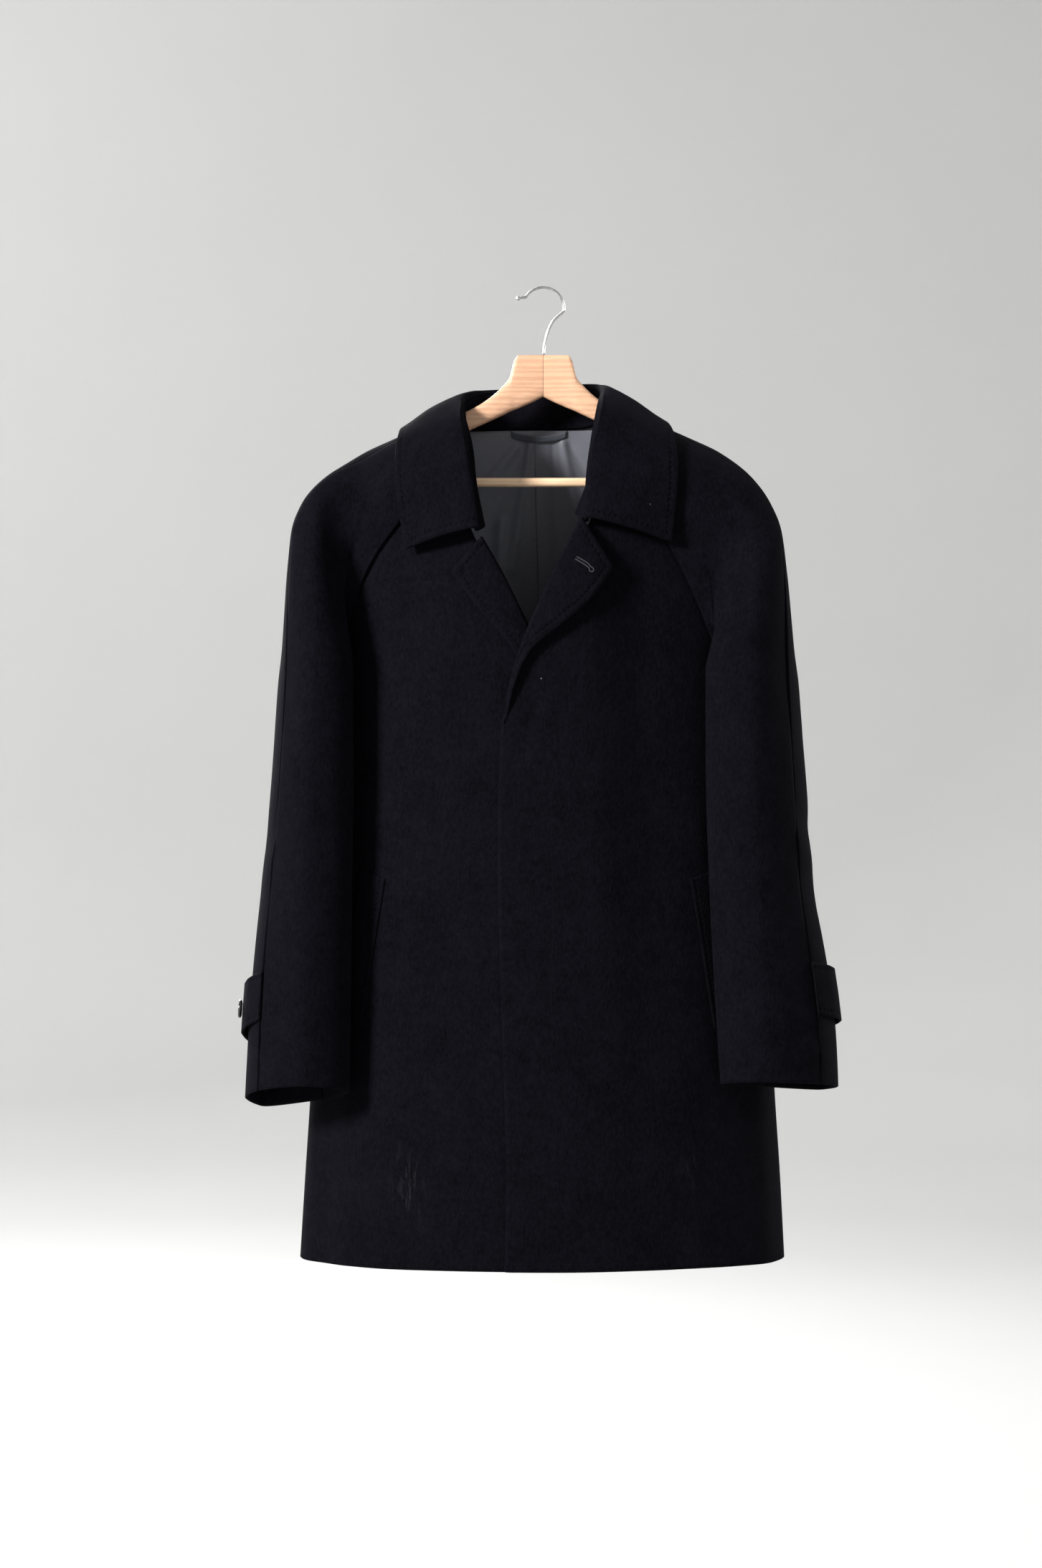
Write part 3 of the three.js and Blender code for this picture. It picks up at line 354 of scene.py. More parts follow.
def use(graph, name, inputs=None):
    """Adds a group to a graph and returns its outputs by name."""
    made = graph.tree.nodes.new("ShaderNodeGroup")
    made.node_tree = bpy.data.node_groups[name]
    for key, value in (inputs or {}).items():
        if isinstance(value, bpy.types.NodeSocket):
            graph.tree.links.new(value, made.inputs[key])
        else:
            made.inputs[key].default_value = value
    return made.outputs


def finish_of(name, roughness=0.5, **fixed):
    """A material whose constant values stand on the shader's own sockets; returns it and its graph."""
    material = bpy.data.materials.new(name)
    material.use_nodes = True
    shader = material.node_tree.nodes["Principled BSDF"]
    shader.inputs["Roughness"].default_value = roughness
    for key, value in fixed.items():
        shader.inputs[key.replace("_", " ")].default_value = value
    return material, Graph(material.node_tree), shader


COLOR, FLOAT, VECTOR = "NodeSocketColor", "NodeSocketFloat", "NodeSocketVector"

# %% The nap, the pressed edges with painted shade in their grooves, and the worn spots
g, gi, go = group("wool_nap", [("Dark", COLOR, (0, 0, 0, 1)), ("Light", COLOR, (1, 1, 1, 1))],
                  [("Color", COLOR), ("Roughness", FLOAT), ("Height", FLOAT)])
place = g.node("ShaderNodeTexCoord", out="Object")
fibres = g.noise(g.stretched(place, (1.0, 1.0, 0.35)), 1500, 4, 0.7)
tufts = g.noise(g.stretched(place, (1.0, 1.0, 0.6)), 330, 3, 0.6)
clouds = g.noise(place, 17, 4, 0.62)
patches = g.noise(place, 70, 3, 0.6)
tone = g.math("ADD", g.math("MULTIPLY", g.ramp(clouds, 0.3, 0.72), 0.2),
              g.math("MULTIPLY", g.ramp(patches, 0.32, 0.7), 0.18))
tone = g.math("ADD", tone, g.math("MULTIPLY", g.ramp(tufts, 0.36, 0.66), 0.36))
tone = g.math("ADD", tone, g.math("MULTIPLY", g.ramp(fibres, 0.38, 0.66), 0.3))
g.tree.links.new(g.mix(tone, gi.outputs["Dark"], gi.outputs["Light"]), go.inputs["Color"])
g.tree.links.new(g.ramp(tufts, 0.2, 0.8, 0.86, 1.0), go.inputs["Roughness"])
height = g.math("ADD", g.math("MULTIPLY", fibres, 0.55), g.math("MULTIPLY", tufts, 0.9))
g.tree.links.new(height, go.inputs["Height"])

g, gi, go = group("pressed_edge", [("Inset", FLOAT, 7.0), ("Pitch", FLOAT, 6.0)],
                  [("Painted Groove Shade", FLOAT), ("Height", FLOAT)])
edge = g.node("ShaderNodeAttribute", attribute_name="edge", out="Fac")
run = g.node("ShaderNodeAttribute", attribute_name="run", out="Fac")
sewn = g.node("ShaderNodeAttribute", attribute_name="sewn", out="Fac")
off = g.math("ABSOLUTE", g.math("SUBTRACT", edge, gi.outputs["Inset"]))
groove = g.ramp(off, 0.0, 2.4, 1.0, 0.0)
beat = g.math("SINE", g.math("MULTIPLY", g.math("DIVIDE", run, gi.outputs["Pitch"]), 2 * math.pi))
dimple = g.math("MULTIPLY", groove, g.ramp(beat, -0.4, 0.8, 0.35, 1.0))
crack = g.ramp(sewn, 0.0, 2.2, 1.0, 0.0)
# The first output is painted shade for the colour: it darkens the stitch dimples and the seam cracks, which the
# height output also sinks.
g.tree.links.new(g.math("MAXIMUM", g.math("MULTIPLY", dimple, 0.7), crack), go.inputs["Painted Groove Shade"])
g.tree.links.new(g.math("SUBTRACT", 0.0, g.math("ADD", dimple, g.math("MULTIPLY", crack, 0.8))),
                 go.inputs["Height"])

g, gi, go = group("worn_spot", [("Centre", VECTOR, (0, 0, 0)), ("Reach", FLOAT, 0.03)], [("Mask", FLOAT)])
place = g.node("ShaderNodeTexCoord", out="Object")
from_centre = g.node("ShaderNodeVectorMath", {0: place, 1: gi.outputs["Centre"]}, operation="SUBTRACT")
flat_place = g.stretched(from_centre, (1.9, 0.3, 0.75))
distance = g.node("ShaderNodeVectorMath", {0: flat_place}, operation="LENGTH", out="Value")
near = g.ramp(g.math("DIVIDE", distance, gi.outputs["Reach"]), 0.35, 1.0, 1.0, 0.0)
streaks = g.ramp(g.noise(g.stretched(place, (1.0, 0.3, 0.22)), 210, 3, 0.65), 0.54, 0.68)
g.tree.links.new(g.math("MULTIPLY", near, streaks), go.inputs["Mask"])

g, gi, go = group("lint", [], [("Mask", FLOAT)])
place = g.node("ShaderNodeTexCoord", out="Object")
cells = g.tree.nodes.new("ShaderNodeTexVoronoi")
cells.inputs["Scale"].default_value = 26
g.tree.links.new(place, cells.inputs["Vector"])
speck = g.math("LESS_THAN", cells.outputs["Distance"], 0.024)
channel = g.node("ShaderNodeSeparateColor", {"Color": cells.outputs["Color"]}, out="Red")
g.tree.links.new(g.math("MULTIPLY", speck, g.math("GREATER_THAN", channel, 0.86)), go.inputs["Mask"])
print("node groups:", sorted(t.name for t in bpy.data.node_groups))

# %% The coating


def coating(name, dark, light, inset, worn=()):
    """Napped wool: cloudy near-black, pale fibres at worn spots and lint, grooves along its stitching with painted
    shade in them and along the seams.
    """
    material, graph, shader = finish_of(
        name, Specular_IOR_Level=0.026, Sheen_Weight=0.16, Sheen_Roughness=0.45,
        Sheen_Tint=(0.028, 0.028, 0.042, 1),
    )
    nap = use(graph, "wool_nap", {"Dark": dark, "Light": light})
    pressed = use(graph, "pressed_edge", {"Inset": inset})
    # Painted shade: the stitch grooves and seam cracks are mixed towards near-black.
    painted_groove_shade = graph.math("MULTIPLY", pressed["Painted Groove Shade"], 0.6)
    color = graph.mix(painted_groove_shade, nap["Color"], (0.0004, 0.0004, 0.0007, 1))
    color = graph.mix(use(graph, "lint")["Mask"], color, (0.06, 0.06, 0.065, 1))
    for centre, reach in worn:
        mask = use(graph, "worn_spot", {"Centre": centre, "Reach": reach})["Mask"]
        color = graph.mix(graph.math("MULTIPLY", mask, 0.4), color, (0.014, 0.0145, 0.017, 1))
    graph.tree.links.new(color, shader.inputs["Base Color"])
    graph.tree.links.new(nap["Roughness"], shader.inputs["Roughness"])
    fine = graph.node("ShaderNodeBump", {"Height": nap["Height"], "Strength": 0.8, "Distance": 0.0012})
    press = graph.node("ShaderNodeBump", {"Height": pressed["Height"], "Strength": 1.0, "Distance": 0.0011,
                                          "Normal": fine})
    graph.tree.links.new(press, shader.inputs["Normal"])
    return material


navy_dark = (0.0002, 0.0002, 0.0006, 1)
navy_light = (0.0046, 0.0044, 0.0070, 1)
# Centre and reach of each worn spot near the hem, in metres.
worn_spots = [
    ((-0.149, -0.09, -0.963), 0.042),
    ((-0.136, -0.09, -0.976), 0.03),
    ((0.156, -0.09, -0.954), 0.028),
]
wool = coating("wool_coating", navy_dark, navy_light, 7.0, worn_spots)
wool_strap = coating("wool_strap", navy_dark, navy_light, 5.0)

thread, graph, shader = finish_of("wool_thread", roughness=0.8, Specular_IOR_Level=0.1)
twist = graph.noise(graph.node("ShaderNodeTexCoord", out="Object"), 2400, 2)
graph.tree.links.new(graph.mix(twist, (0.0006, 0.0006, 0.001, 1), (0.0045, 0.0045, 0.007, 1)),
                     shader.inputs["Base Color"])

pale_thread, graph, shader = finish_of("buttonhole_thread", roughness=0.7, Specular_IOR_Level=0.2)
twist = graph.noise(graph.node("ShaderNodeTexCoord", out="Object"), 2600, 2)
graph.tree.links.new(graph.mix(twist, (0.02, 0.02, 0.023, 1), (0.055, 0.055, 0.06, 1)),
                     shader.inputs["Base Color"])
print("coating, strap and threads")

# %% [markdown]
# ## Lining, tape, horn, wood and wire
# Satin is smooth and catches the light in long soft streaks, so it gets a low roughness, a fine
# twill from its own map and folds in its mesh. The wood's grain is a noise drawn out along the
# hanger, with a dark joint where its two halves meet, and painted light that makes the right half
# paler, as if it faced the lamp. Buttons are polished with cloudy horn inside.
# %% Other finishes
g, gi, go = group("satin_twill", [], [("Tone", FLOAT), ("Height", FLOAT)])
uv = g.node("ShaderNodeUVMap", uv_map="cloth")
turned = g.node("ShaderNodeMapping", {"Vector": uv, "Rotation": (0, 0, math.radians(62))})
wave = g.node("ShaderNodeTexWave", {"Vector": turned, "Scale": 520, "Distortion": 0.6, "Detail": 1.0}, out="Fac")
slub = g.noise(g.stretched(uv, (0.12, 1.0, 1.0)), 900, 2)
g.tree.links.new(g.math("ADD", g.math("MULTIPLY", wave, 0.35), g.math("MULTIPLY", slub, 0.65)), go.inputs["Tone"])
g.tree.links.new(wave, go.inputs["Height"])

satin, graph, shader = finish_of("grey_satin", Specular_IOR_Level=0.3, Anisotropic=0.3)
twill = use(graph, "satin_twill")
graph.tree.links.new(graph.mix(twill["Tone"], (0.055, 0.056, 0.070, 1), (0.122, 0.125, 0.149, 1)),
                     shader.inputs["Base Color"])
graph.tree.links.new(graph.ramp(twill["Tone"], 0.2, 0.8, 0.42, 0.55), shader.inputs["Roughness"])
graph.tree.links.new(graph.node("ShaderNodeBump", {"Height": twill["Height"], "Strength": 0.12, "Distance": 0.0002}),
                     shader.inputs["Normal"])

tape, graph, shader = finish_of("loop_tape", Sheen_Weight=0.3)
ribs = graph.node("ShaderNodeTexWave", {"Vector": graph.node("ShaderNodeUVMap", uv_map="cloth"), "Scale": 380,
                                        "Distortion": 0.3}, out="Fac")
graph.tree.links.new(graph.mix(ribs, (0.006, 0.008, 0.016, 1), (0.016, 0.021, 0.036, 1)),
                     shader.inputs["Base Color"])
graph.tree.links.new(graph.ramp(ribs, 0, 1, 0.5, 0.7), shader.inputs["Roughness"])
graph.tree.links.new(graph.node("ShaderNodeBump", {"Height": ribs, "Strength": 0.5, "Distance": 0.0003}),
                     shader.inputs["Normal"])

horn, graph, shader = finish_of("button_horn", Specular_IOR_Level=0.5, Coat_Weight=0.35, Coat_Roughness=0.12)
cloud = graph.noise(graph.node("ShaderNodeTexCoord", out="Object"), 420, 4, 0.65)
graph.tree.links.new(graph.mix(graph.ramp(cloud, 0.4, 0.7), (0.008, 0.008, 0.010, 1), (0.045, 0.042, 0.042, 1)),
                     shader.inputs["Base Color"])
graph.tree.links.new(graph.ramp(cloud, 0.3, 0.7, 0.2, 0.32), shader.inputs["Roughness"])

g, gi, go = group("wood_grain_and_painted_light", [("Dark", COLOR, (0, 0, 0, 1)), ("Light", COLOR, (1, 1, 1, 1)),
                                 ("Joint And Painted Half", FLOAT, 0.0)],
                  [("Color", COLOR), ("Roughness", FLOAT), ("Height", FLOAT)])
place = g.node("ShaderNodeTexCoord", out="Object")
x_part = g.node("ShaderNodeSeparateXYZ", {0: place}, out="X")
long_way = g.stretched(place, (0.07, 1.0, 1.0))
rings = g.node("ShaderNodeTexWave", {"Vector": long_way, "Scale": 52, "Distortion": 7.0, "Detail": 3.0,
                                     "Detail Scale": 1.6}, out="Fac", bands_direction="Z")
pores = g.noise(long_way, 900, 3, 0.7)
tint = g.noise(place, 26, 3)
shade = g.math("ADD", g.math("MULTIPLY", rings, 0.36), g.math("MULTIPLY", g.ramp(pores, 0.4, 0.7), 0.3))
shade = g.math("ADD", shade, g.math("MULTIPLY", tint, 0.4))
# Painted light: the half at positive x, which turns towards the lamp on the left, is made paler.
halves = g.math("MULTIPLY", g.math("GREATER_THAN", x_part, 0.0), 0.22)
shade = g.math("ADD", shade, g.math("MULTIPLY", halves, gi.outputs["Joint And Painted Half"]))
line = g.math("MULTIPLY", g.ramp(g.math("ABSOLUTE", x_part), 0.0, 0.0007, 1.0, 0.0), gi.outputs["Joint And Painted Half"])
color = g.mix(shade, gi.outputs["Dark"], gi.outputs["Light"])
g.tree.links.new(g.mix(g.math("MULTIPLY", line, 0.75), color, (0.12, 0.05, 0.025, 1)), go.inputs["Color"])
g.tree.links.new(g.ramp(pores, 0.3, 0.7, 0.36, 0.56), go.inputs["Roughness"])
g.tree.links.new(g.math("SUBTRACT", g.math("MULTIPLY", pores, 0.6), line), go.inputs["Height"])


def varnished_wood(name, dark, light, joint):
    """Clear-varnished wood with its grain along the hanger. The fourth value turns on the dark joint and a right
    half painted paler, which is painted light.
    """
    material, graph, shader = finish_of(name, Specular_IOR_Level=0.35, Coat_Weight=0.08, Coat_Roughness=0.35)
    grain = use(graph, "wood_grain_and_painted_light", {"Dark": dark, "Light": light, "Joint And Painted Half": joint})
    graph.tree.links.new(grain["Color"], shader.inputs["Base Color"])
    graph.tree.links.new(grain["Roughness"], shader.inputs["Roughness"])
    graph.tree.links.new(graph.node("ShaderNodeBump", {"Height": grain["Height"], "Strength": 0.35,
                                                       "Distance": 0.0005}), shader.inputs["Normal"])
    return material


# The bow takes the dark joint and its right half painted paler as painted light; the bar takes neither.
bow_wood = varnished_wood("bow_wood", (0.36, 0.19, 0.115, 1), (0.60, 0.37, 0.235, 1), 1.0)
# The bar is slightly paler wood, and its colour is raised further as painted light, to lift the shade it lies in
# under the collar.
bar_wood_painted_light = varnished_wood("bar_wood_painted_light", (0.56, 0.36, 0.22, 1), (0.82, 0.60, 0.40, 1), 0.0)

wire, graph, shader = finish_of("plated_wire", Metallic=1.0)
smudge = graph.noise(graph.node("ShaderNodeTexCoord", out="Object"), 160, 4)
graph.tree.links.new(graph.mix(smudge, (0.42, 0.42, 0.43, 1), (0.7, 0.7, 0.7, 1)),
                     shader.inputs["Base Color"])
graph.tree.links.new(graph.ramp(smudge, 0.3, 0.7, 0.14, 0.3), shader.inputs["Roughness"])
print("materials:", sorted(m.name for m in bpy.data.materials))

# %% [markdown]
# ## The body of the coat
# Level sections of two half ellipses, one in front and one behind the side seams, are joined by the
# section table. Soft vertical folds are bells round the body that fade out upwards. Fronts and back
# are strips of this surface between their seams, so neighbours always meet.
# %% Body sections
hem_z, underarm_z, front_neck_z, back_neck_z = -1055.0, -425.0, -186.0, -152.0
cloth, collar_cloth, lapel_cloth, lining_cloth = 2.6, 4.0, 3.6, 1.0
seam, layer = 0.3, 0.6
raglan_rows, sleeve_rows = 9, 14

sections = table(
    ["z", "middle", "half", "side_y", "front_y", "back_y"],
    [
        [-1060, -1, 265, 20, -90, 68],
        [-960, -0.5, 259.5, 23, -91, 66],
        [-880, -0.5, 254.5, 26, -92, 65],
        [-780, -0.5, 249.5, 27, -93, 64],
        [-660, -1, 245, 27, -94, 63],
        [-560, -1, 241.5, 26, -94, 62],
        [-470, -1.5, 238, 24, -94, 62],
        [-425, -1.5, 236.5, 22, -93, 62],
        [-379, -2.5, 233, 16, -92, 61],
        [-326, -4, 225, 8, -90, 59],
        [-261, -6, 205, 1, -84, 54],
        [-186, -8, 165, -4, -68, 47],
        [-150, -8, 150, -5, -58, 42],
    ],
)
body_folds = [
    dict(angle=38, width=9, depth=5, top=-560),
    dict(angle=66, width=8, depth=-5, top=-480),
    dict(angle=97, width=10, depth=6, top=-430),
    dict(angle=126, width=9, depth=-4, top=-520),
    dict(angle=152, width=8, depth=5, top=-600),
    dict(angle=-26, width=8, depth=4, top=-640),
    dict(angle=-52, width=8, depth=-2.5, top=-700),
    dict(angle=-128, width=9, depth=2.5, top=-690),
    dict(angle=-155, width=8, depth=-4, top=-620),
]


def body_point(degrees, z):
    """Half ellipses: x is the half width times the cosine, y the front or back depth times the sine."""
    degrees, z = np.broadcast_arrays(np.asarray(degrees, float), np.asarray(z, float))
    angle = np.radians(degrees)
    get = lambda name: look(sections, name, z)
    depth = np.where(np.sin(angle) < 0, get("side_y") - get("front_y"), get("back_y") - get("side_y"))
    fold = sum(f["depth"] * bump(f["angle"], f["width"], degrees) * smooth(f["top"], hem_z, z)
               for f in body_folds)
    x = get("middle") + (get("half") + fold) * np.cos(angle)
    return vec(x, get("side_y") + (depth + fold) * np.sin(angle), z)


def body_angle(x, z, side):
    """Angle in degrees at which the front (-1) or back (1) of the body has a given x."""
    cosine = np.clip((x - look(sections, "middle", z)) / look(sections, "half", z), -1, 1)
    return side * np.degrees(np.arccos(cosine))


def body_normal(degrees, z):
    """Unit normal of the body from small steps along and up."""
    along = body_point(np.asarray(degrees) + 0.5, z) - body_point(np.asarray(degrees) - 0.5, z)
    up = body_point(degrees, np.asarray(z) + 2) - body_point(degrees, np.asarray(z) - 2)
    return unit(np.cross(along, up))


def off_body(degrees, z, distance):
    """Body points moved out by a distance."""
    distance = np.asarray(distance, float)
    return body_point(degrees, z) + body_normal(degrees, z) * distance[..., None]


raglan_seams = table(
    ["z", "front_right", "front_left"],
    [
        [-425, 1, 1],
        [-416, 0.905, 0.955],
        [-400, 0.82, 0.92],
        [-379, 0.765, 0.895],
        [-354, 0.735, 0.875],
        [-326, 0.7, 0.845],
        [-295, 0.66, 0.8],
        [-261, 0.605, 0.72],
        [-225, 0.54, 0.62],
        [-186, 0.49, 0.52],
    ],
)
back_raglan_seam = table(
    ["z", "share"],
    [
        [-425, 1],
        [-415, 0.965],
        [-395, 0.895],
        [-368, 0.815],
        [-336, 0.745],
        [-302, 0.7],
        [-266, 0.65],
        [-228, 0.6],
        [-190, 0.555],
        [-152, 0.53],
    ],
)


def rise(i, top):
    """Height of the row at place i between underarm and neck, rows close together below."""
    return lerp(underarm_z, top, (np.asarray(i, float) / raglan_rows) ** 1.5)


def front_seam_angle(z, right):
    """Angle of a front raglan seam, from the share of the half width it leaves."""
    share = look(raglan_seams, "front_right" if right else "front_left", z)
    angle = np.degrees(np.arccos(np.minimum(1, share)))
    return -angle if right else angle - 180


def back_seam_angle(z, right):
    """The same for the back."""
    angle = np.degrees(np.arccos(np.minimum(1, look(back_raglan_seam, "share", z))))
    return angle if right else 180 - angle


print("half width at the chest", look(sections, "half", -425.0))

# %% Lapel lines and front edges
lapel_names = ["t", "roll_x", "roll_z", "edge_x", "edge_z"]
lapel_right = table(lapel_names, [
    [0, -44, -474, -37, -480],
    [0.2, -37, -434, -32.5, -438],
    [0.4, -25, -393, -15, -399],
    [0.6, -8, -352, 13, -374],
    [0.8, 14, -305, 47, -345],
    [1, 39, -256, 74, -310],
])
lapel_left = table(lapel_names, [
    [0, 34, -474, 27, -480],
    [0.2, 22, -444, 13, -452],
    [0.4, 4, -409, -12, -424],
    [0.6, -16, -370, -42, -382],
    [0.8, -41, -319, -71, -349],
    [1, -65, -276, -97, -313],
])
lapel_turn = 6.0


def emerging(t, right):
    """0 where the upper lapel is still one with the front edge, 1 where it has turned out of it."""
    return smooth(-0.03, 0.24, np.asarray(t, float)) if right else np.ones_like(np.asarray(t, float))


def roll_centre(t, right):
    """Middle of a lapel's roll in front view, its free edge, and the way from one to the other."""
    columns = lapel_right if right else lapel_left
    get = lambda name: look(columns, name, t)
    roll, edge = vec(get("roll_x"), 0, get("roll_z")), vec(get("edge_x"), 0, get("edge_z"))
    out = emerging(t, right)
    edge = roll + (edge - roll) * lerp(0.35, 1, out)[..., None]
    width = np.linalg.norm(edge - roll, axis=-1)
    outwards = (edge - roll) / width[..., None]
    turn = np.minimum(lapel_turn, 0.45 * width)
    return edge, outwards, turn, roll + outwards * turn[..., None]


def roll_rows(right):
    """Rows of a front's edge table along its roll line."""
    t = np.arange(6) / 6
    _, _, _, centre = roll_centre(t, right)
    shift = lerp(-1.2, 1.8, emerging(t, right)) if right else np.full(6, -1.8)
    return [[c[2], c[0] + move] for c, move in zip(centre, shift)]


front_edge_right = table(["z", "x"], [
    [-1060, -41], [-960, -39], [-840, -42], [-720, -46], [-600, -48], [-520, -46],
    *roll_rows(True),
    [-261, 49], [-235, 55], [-215, 58], [-186, 67],
])
front_edge_left = table(["z", "x"], [
    [-1060, 38], [-600, 37], [-520, 35],
    *roll_rows(False),
    [-281, -72], [-262, -80], [-240, -87], [-215, -89], [-186, -89],
])


def front_lift(x, z):
    """How far the upper front stands off where it covers the lower front and its lapel."""
    overlap = 1 - smooth(40, 112, x)
    lapel_under = 7.8 * smooth(-680, -480, z) + 4 * smooth(-470, -385, z)
    fading = 1 - 0.6 * smooth(-360, -280, z) - 0.4 * smooth(-290, -225, z)
    return overlap * (cloth + layer + lapel_under) * fading


side_angle, side_columns, front_columns, back_columns, raglan_lap = 38, 4, 14, 22, 1.6


def panel_heights(top, below, above):
    """Rows of a body panel: even below the underarm, close together just above it."""
    low = np.linspace(hem_z, underarm_z, below + 1)[:-1]
    return np.concatenate([low, rise(np.linspace(0, raglan_rows, above + 1), top)])


def front_grid(right, below=15, above=9, columns=14):
    """A front: level rows from the side or raglan seam to its edge, and the body's normals there."""
    z = panel_heights(front_neck_z, below, above)[:, None]
    side = 1 if right else -1
    seam_angle = front_seam_angle(z, right) + side * raglan_lap * smooth(underarm_z, underarm_z + 9, z)
    start = np.where(z <= underarm_z, 0 if right else -180, seam_angle)
    end = body_angle(look(front_edge_right if right else front_edge_left, "x", z), z, -1)
    turned = np.minimum(-side_angle, start - 5) if right else np.maximum(side_angle - 180, start + 5)
    share = np.linspace(0, 1, columns + 1)[None, :]
    near = side_columns / front_columns
    angles = np.where(share < near, lerp(start, turned, share / near),
                      lerp(turned, end, (share - near) / (1 - near)))
    if right:
        angles = angles[:, ::-1]
    z = np.broadcast_to(z, angles.shape)
    grid = body_point(angles, z)
    if right:
        grid[..., 1] -= front_lift(grid[..., 0], z)
    return grid, body_normal(angles, z)


def back_grid(below=15, above=9, columns=22):
    """The back: level rows between the side seams or the two raglan seams."""
    z = panel_heights(back_neck_z, below, above)[:, None]
    lap = raglan_lap * smooth(underarm_z, underarm_z + 9, z)
    start = np.where(z <= underarm_z, 0, back_seam_angle(z, True) - lap)
    end = np.where(z <= underarm_z, 180, back_seam_angle(z, False) + lap)
    low, high = np.maximum(side_angle, start + 4), np.minimum(180 - side_angle, end - 4)
    share = np.linspace(0, 1, columns + 1)[None, :]
    near = side_columns / back_columns
    angles = np.where(share < near, lerp(start, low, share / near),
                      np.where(share > 1 - near, lerp(end, high, (1 - share) / near),
                               lerp(low, high, (share - near) / (1 - 2 * near))))
    z = np.broadcast_to(z, angles.shape)
    return body_point(angles, z), body_normal(angles, z)


print("front grid", front_grid(True)[0].shape, "back grid", back_grid()[0].shape)

# %% [markdown]
# ## Creases
# Worn cloth is never even. Each crease is a soft trough or ridge along a line in front view: its
# depth falls off as a bell across the line, and the cloth on both faces moves with it.
# %% Creases
# Columns: piece, then the two ends x0, z0 and x1, z1 in front view, then width and depth.
creases = [
    ["front_right", -198, -331, -92, -317, 3.5, -1.1],
    ["front_right", -196, -324, -96, -309, 5, 0.8],
    ["front_right", -62, -728, -44, -731, 4, -1.4],
    ["front_right", -64, -770, -44, -776, 4, -1.3],
    ["front_right", -120, -560, -150, -900, 26, 2.2],
    ["front_right", -60, -560, -66, -1000, 20, -1.6],
    ["front_right", -190, -470, -205, -620, 14, -1.8],
    ["front_right", -85, -640, -52, -800, 12, 1.4],
    ["front_right", -170, -880, -178, -1050, 15, 1.8],
    ["front_right", -105, -420, -150, -500, 18, 1.2],
    ["front_left", 4, -432, -34, -520, 7, -1.3],
    ["front_left", 12, -430, -20, -540, 8, 1.1],
    ["front_left", -10, -800, -28, -850, 8, -0.9],
    ["front_left", 60, -500, 78, -860, 22, 1.8],
    ["front_left", 120, -520, 128, -900, 20, -1.6],
    ["front_left", 160, -560, 172, -640, 12, 1.4],
    ["front_left", 20, -860, 26, -1050, 18, 1.3],
    ["front_left", 150, -860, 162, -1050, 16, 1.7],
    ["front_left", 92, -330, 150, -372, 14, 1.3],
    ["back", -120, -300, -60, -620, 26, 2.4],
    ["back", 110, -310, 72, -640, 24, 2.0],
    ["back", 0, -420, 6, -900, 22, -1.6],
    ["back", -180, -440, -120, -540, 14, -1.8],
    ["back", 178, -445, 130, -560, 13, -1.6],
    ["back", -150, -600, -176, -1040, 20, 2.2],
    ["back", 140, -650, 160, -1040, 22, 2.4],
    ["sleeve_right_front", -262, -330, -250, -560, 14, 1.4],
    ["sleeve_right_front", -236, -560, -226, -640, 12, -1.3],
    ["sleeve_right_front", -290, -600, -240, -632, 9, -1.3],
    ["sleeve_right_front", -288, -622, -246, -650, 9, 1.1],
    ["sleeve_right_front", -300, -810, -262, -822, 7, -1.4],
    ["sleeve_right_front", -302, -826, -270, -836, 6, 1.1],
    ["sleeve_right_front", -250, -700, -256, -860, 13, 1.5],
    ["sleeve_left_front", 232, -330, 222, -560, 15, 1.3],
    ["sleeve_left_front", 262, -590, 206, -622, 10, -1.3],
    ["sleeve_left_front", 268, -612, 214, -646, 10, 1.1],
    ["sleeve_left_front", 296, -796, 258, -814, 7, -1.5],
    ["sleeve_left_front", 298, -816, 262, -838, 6, 1.2],
    ["sleeve_left_front", 306, -770, 300, -850, 6, -1.2],
    ["sleeve_left_front", 226, -690, 236, -850, 14, 1.5],
    ["sleeve_left_back", 268, -560, 292, -600, 11, -2.0],
    ["sleeve_left_back", 262, -590, 290, -636, 12, 1.6],
    ["sleeve_left_back", 252, -330, 268, -470, 15, 1.8],
    ["sleeve_left_back", 286, -690, 300, -850, 12, 1.5],
    ["sleeve_right_back", -270, -560, -292, -606, 11, -1.9],
    ["sleeve_right_back", -264, -596, -292, -640, 12, 1.6],
    ["sleeve_right_back", -256, -330, -272, -470, 15, 1.7],
    ["sleeve_right_back", -290, -690, -302, -860, 12, 1.6],
    ["collar_fall", -146, -262, -92, -250, 8, 0.9],
    ["collar_fall", 84, -236, 132, -262, 9, 0.8],
    ["collar_fall", -118, -176, -126, -270, 14, 1.0],
    ["collar_fall", 104, -170, 112, -258, 14, 0.9],
]


def creased(piece, grid, normals):
    """Moves a piece's points along their normals by the creases that name it."""
    for name, x0, z0, x1, z1, width, depth in creases:
        if name != piece:
            continue
        along = np.array([x1 - x0, z1 - z0], float)
        place = grid[..., [0, 2]] - [x0, z0]
        share = np.clip(place @ along / (along @ along), 0, 1)
        distance = np.linalg.norm(place - share[..., None] * along, axis=-1)
        fading = 0.35 + 0.65 * np.sin(math.pi * np.clip(share, 0.02, 0.98))
        grid = grid + normals * (depth * fading * bump(0, width, distance))[..., None]
    return grid


print(len(creases), "creases over", len({row[0] for row in creases}), "pieces")

# %% Fronts and back


def piece_of_cloth(name, grid, normals, thickness, free="", stitched="", material=wool):
    """One panel of the coat: creased, walled, its cut printed, and standing for its solid, which is hidden."""
    grid = creased(name, grid, normals)
    made = shell("cloth_" + name, grid, thickness, material, free, stitched, grid_normals(grid))
    declare(made, grid)
    return grid


fine = dict(below=150, above=80)
left_front, normals = front_grid(True, columns=84, **fine)
left_front = piece_of_cloth("front_left", left_front, normals, cloth, "bl")
right_front, normals = front_grid(False, columns=84, **fine)
right_front = piece_of_cloth("front_right", right_front, normals, cloth, "br")
back, normals = back_grid(columns=132, **fine)
back = piece_of_cloth("back", back, normals, cloth, "b")

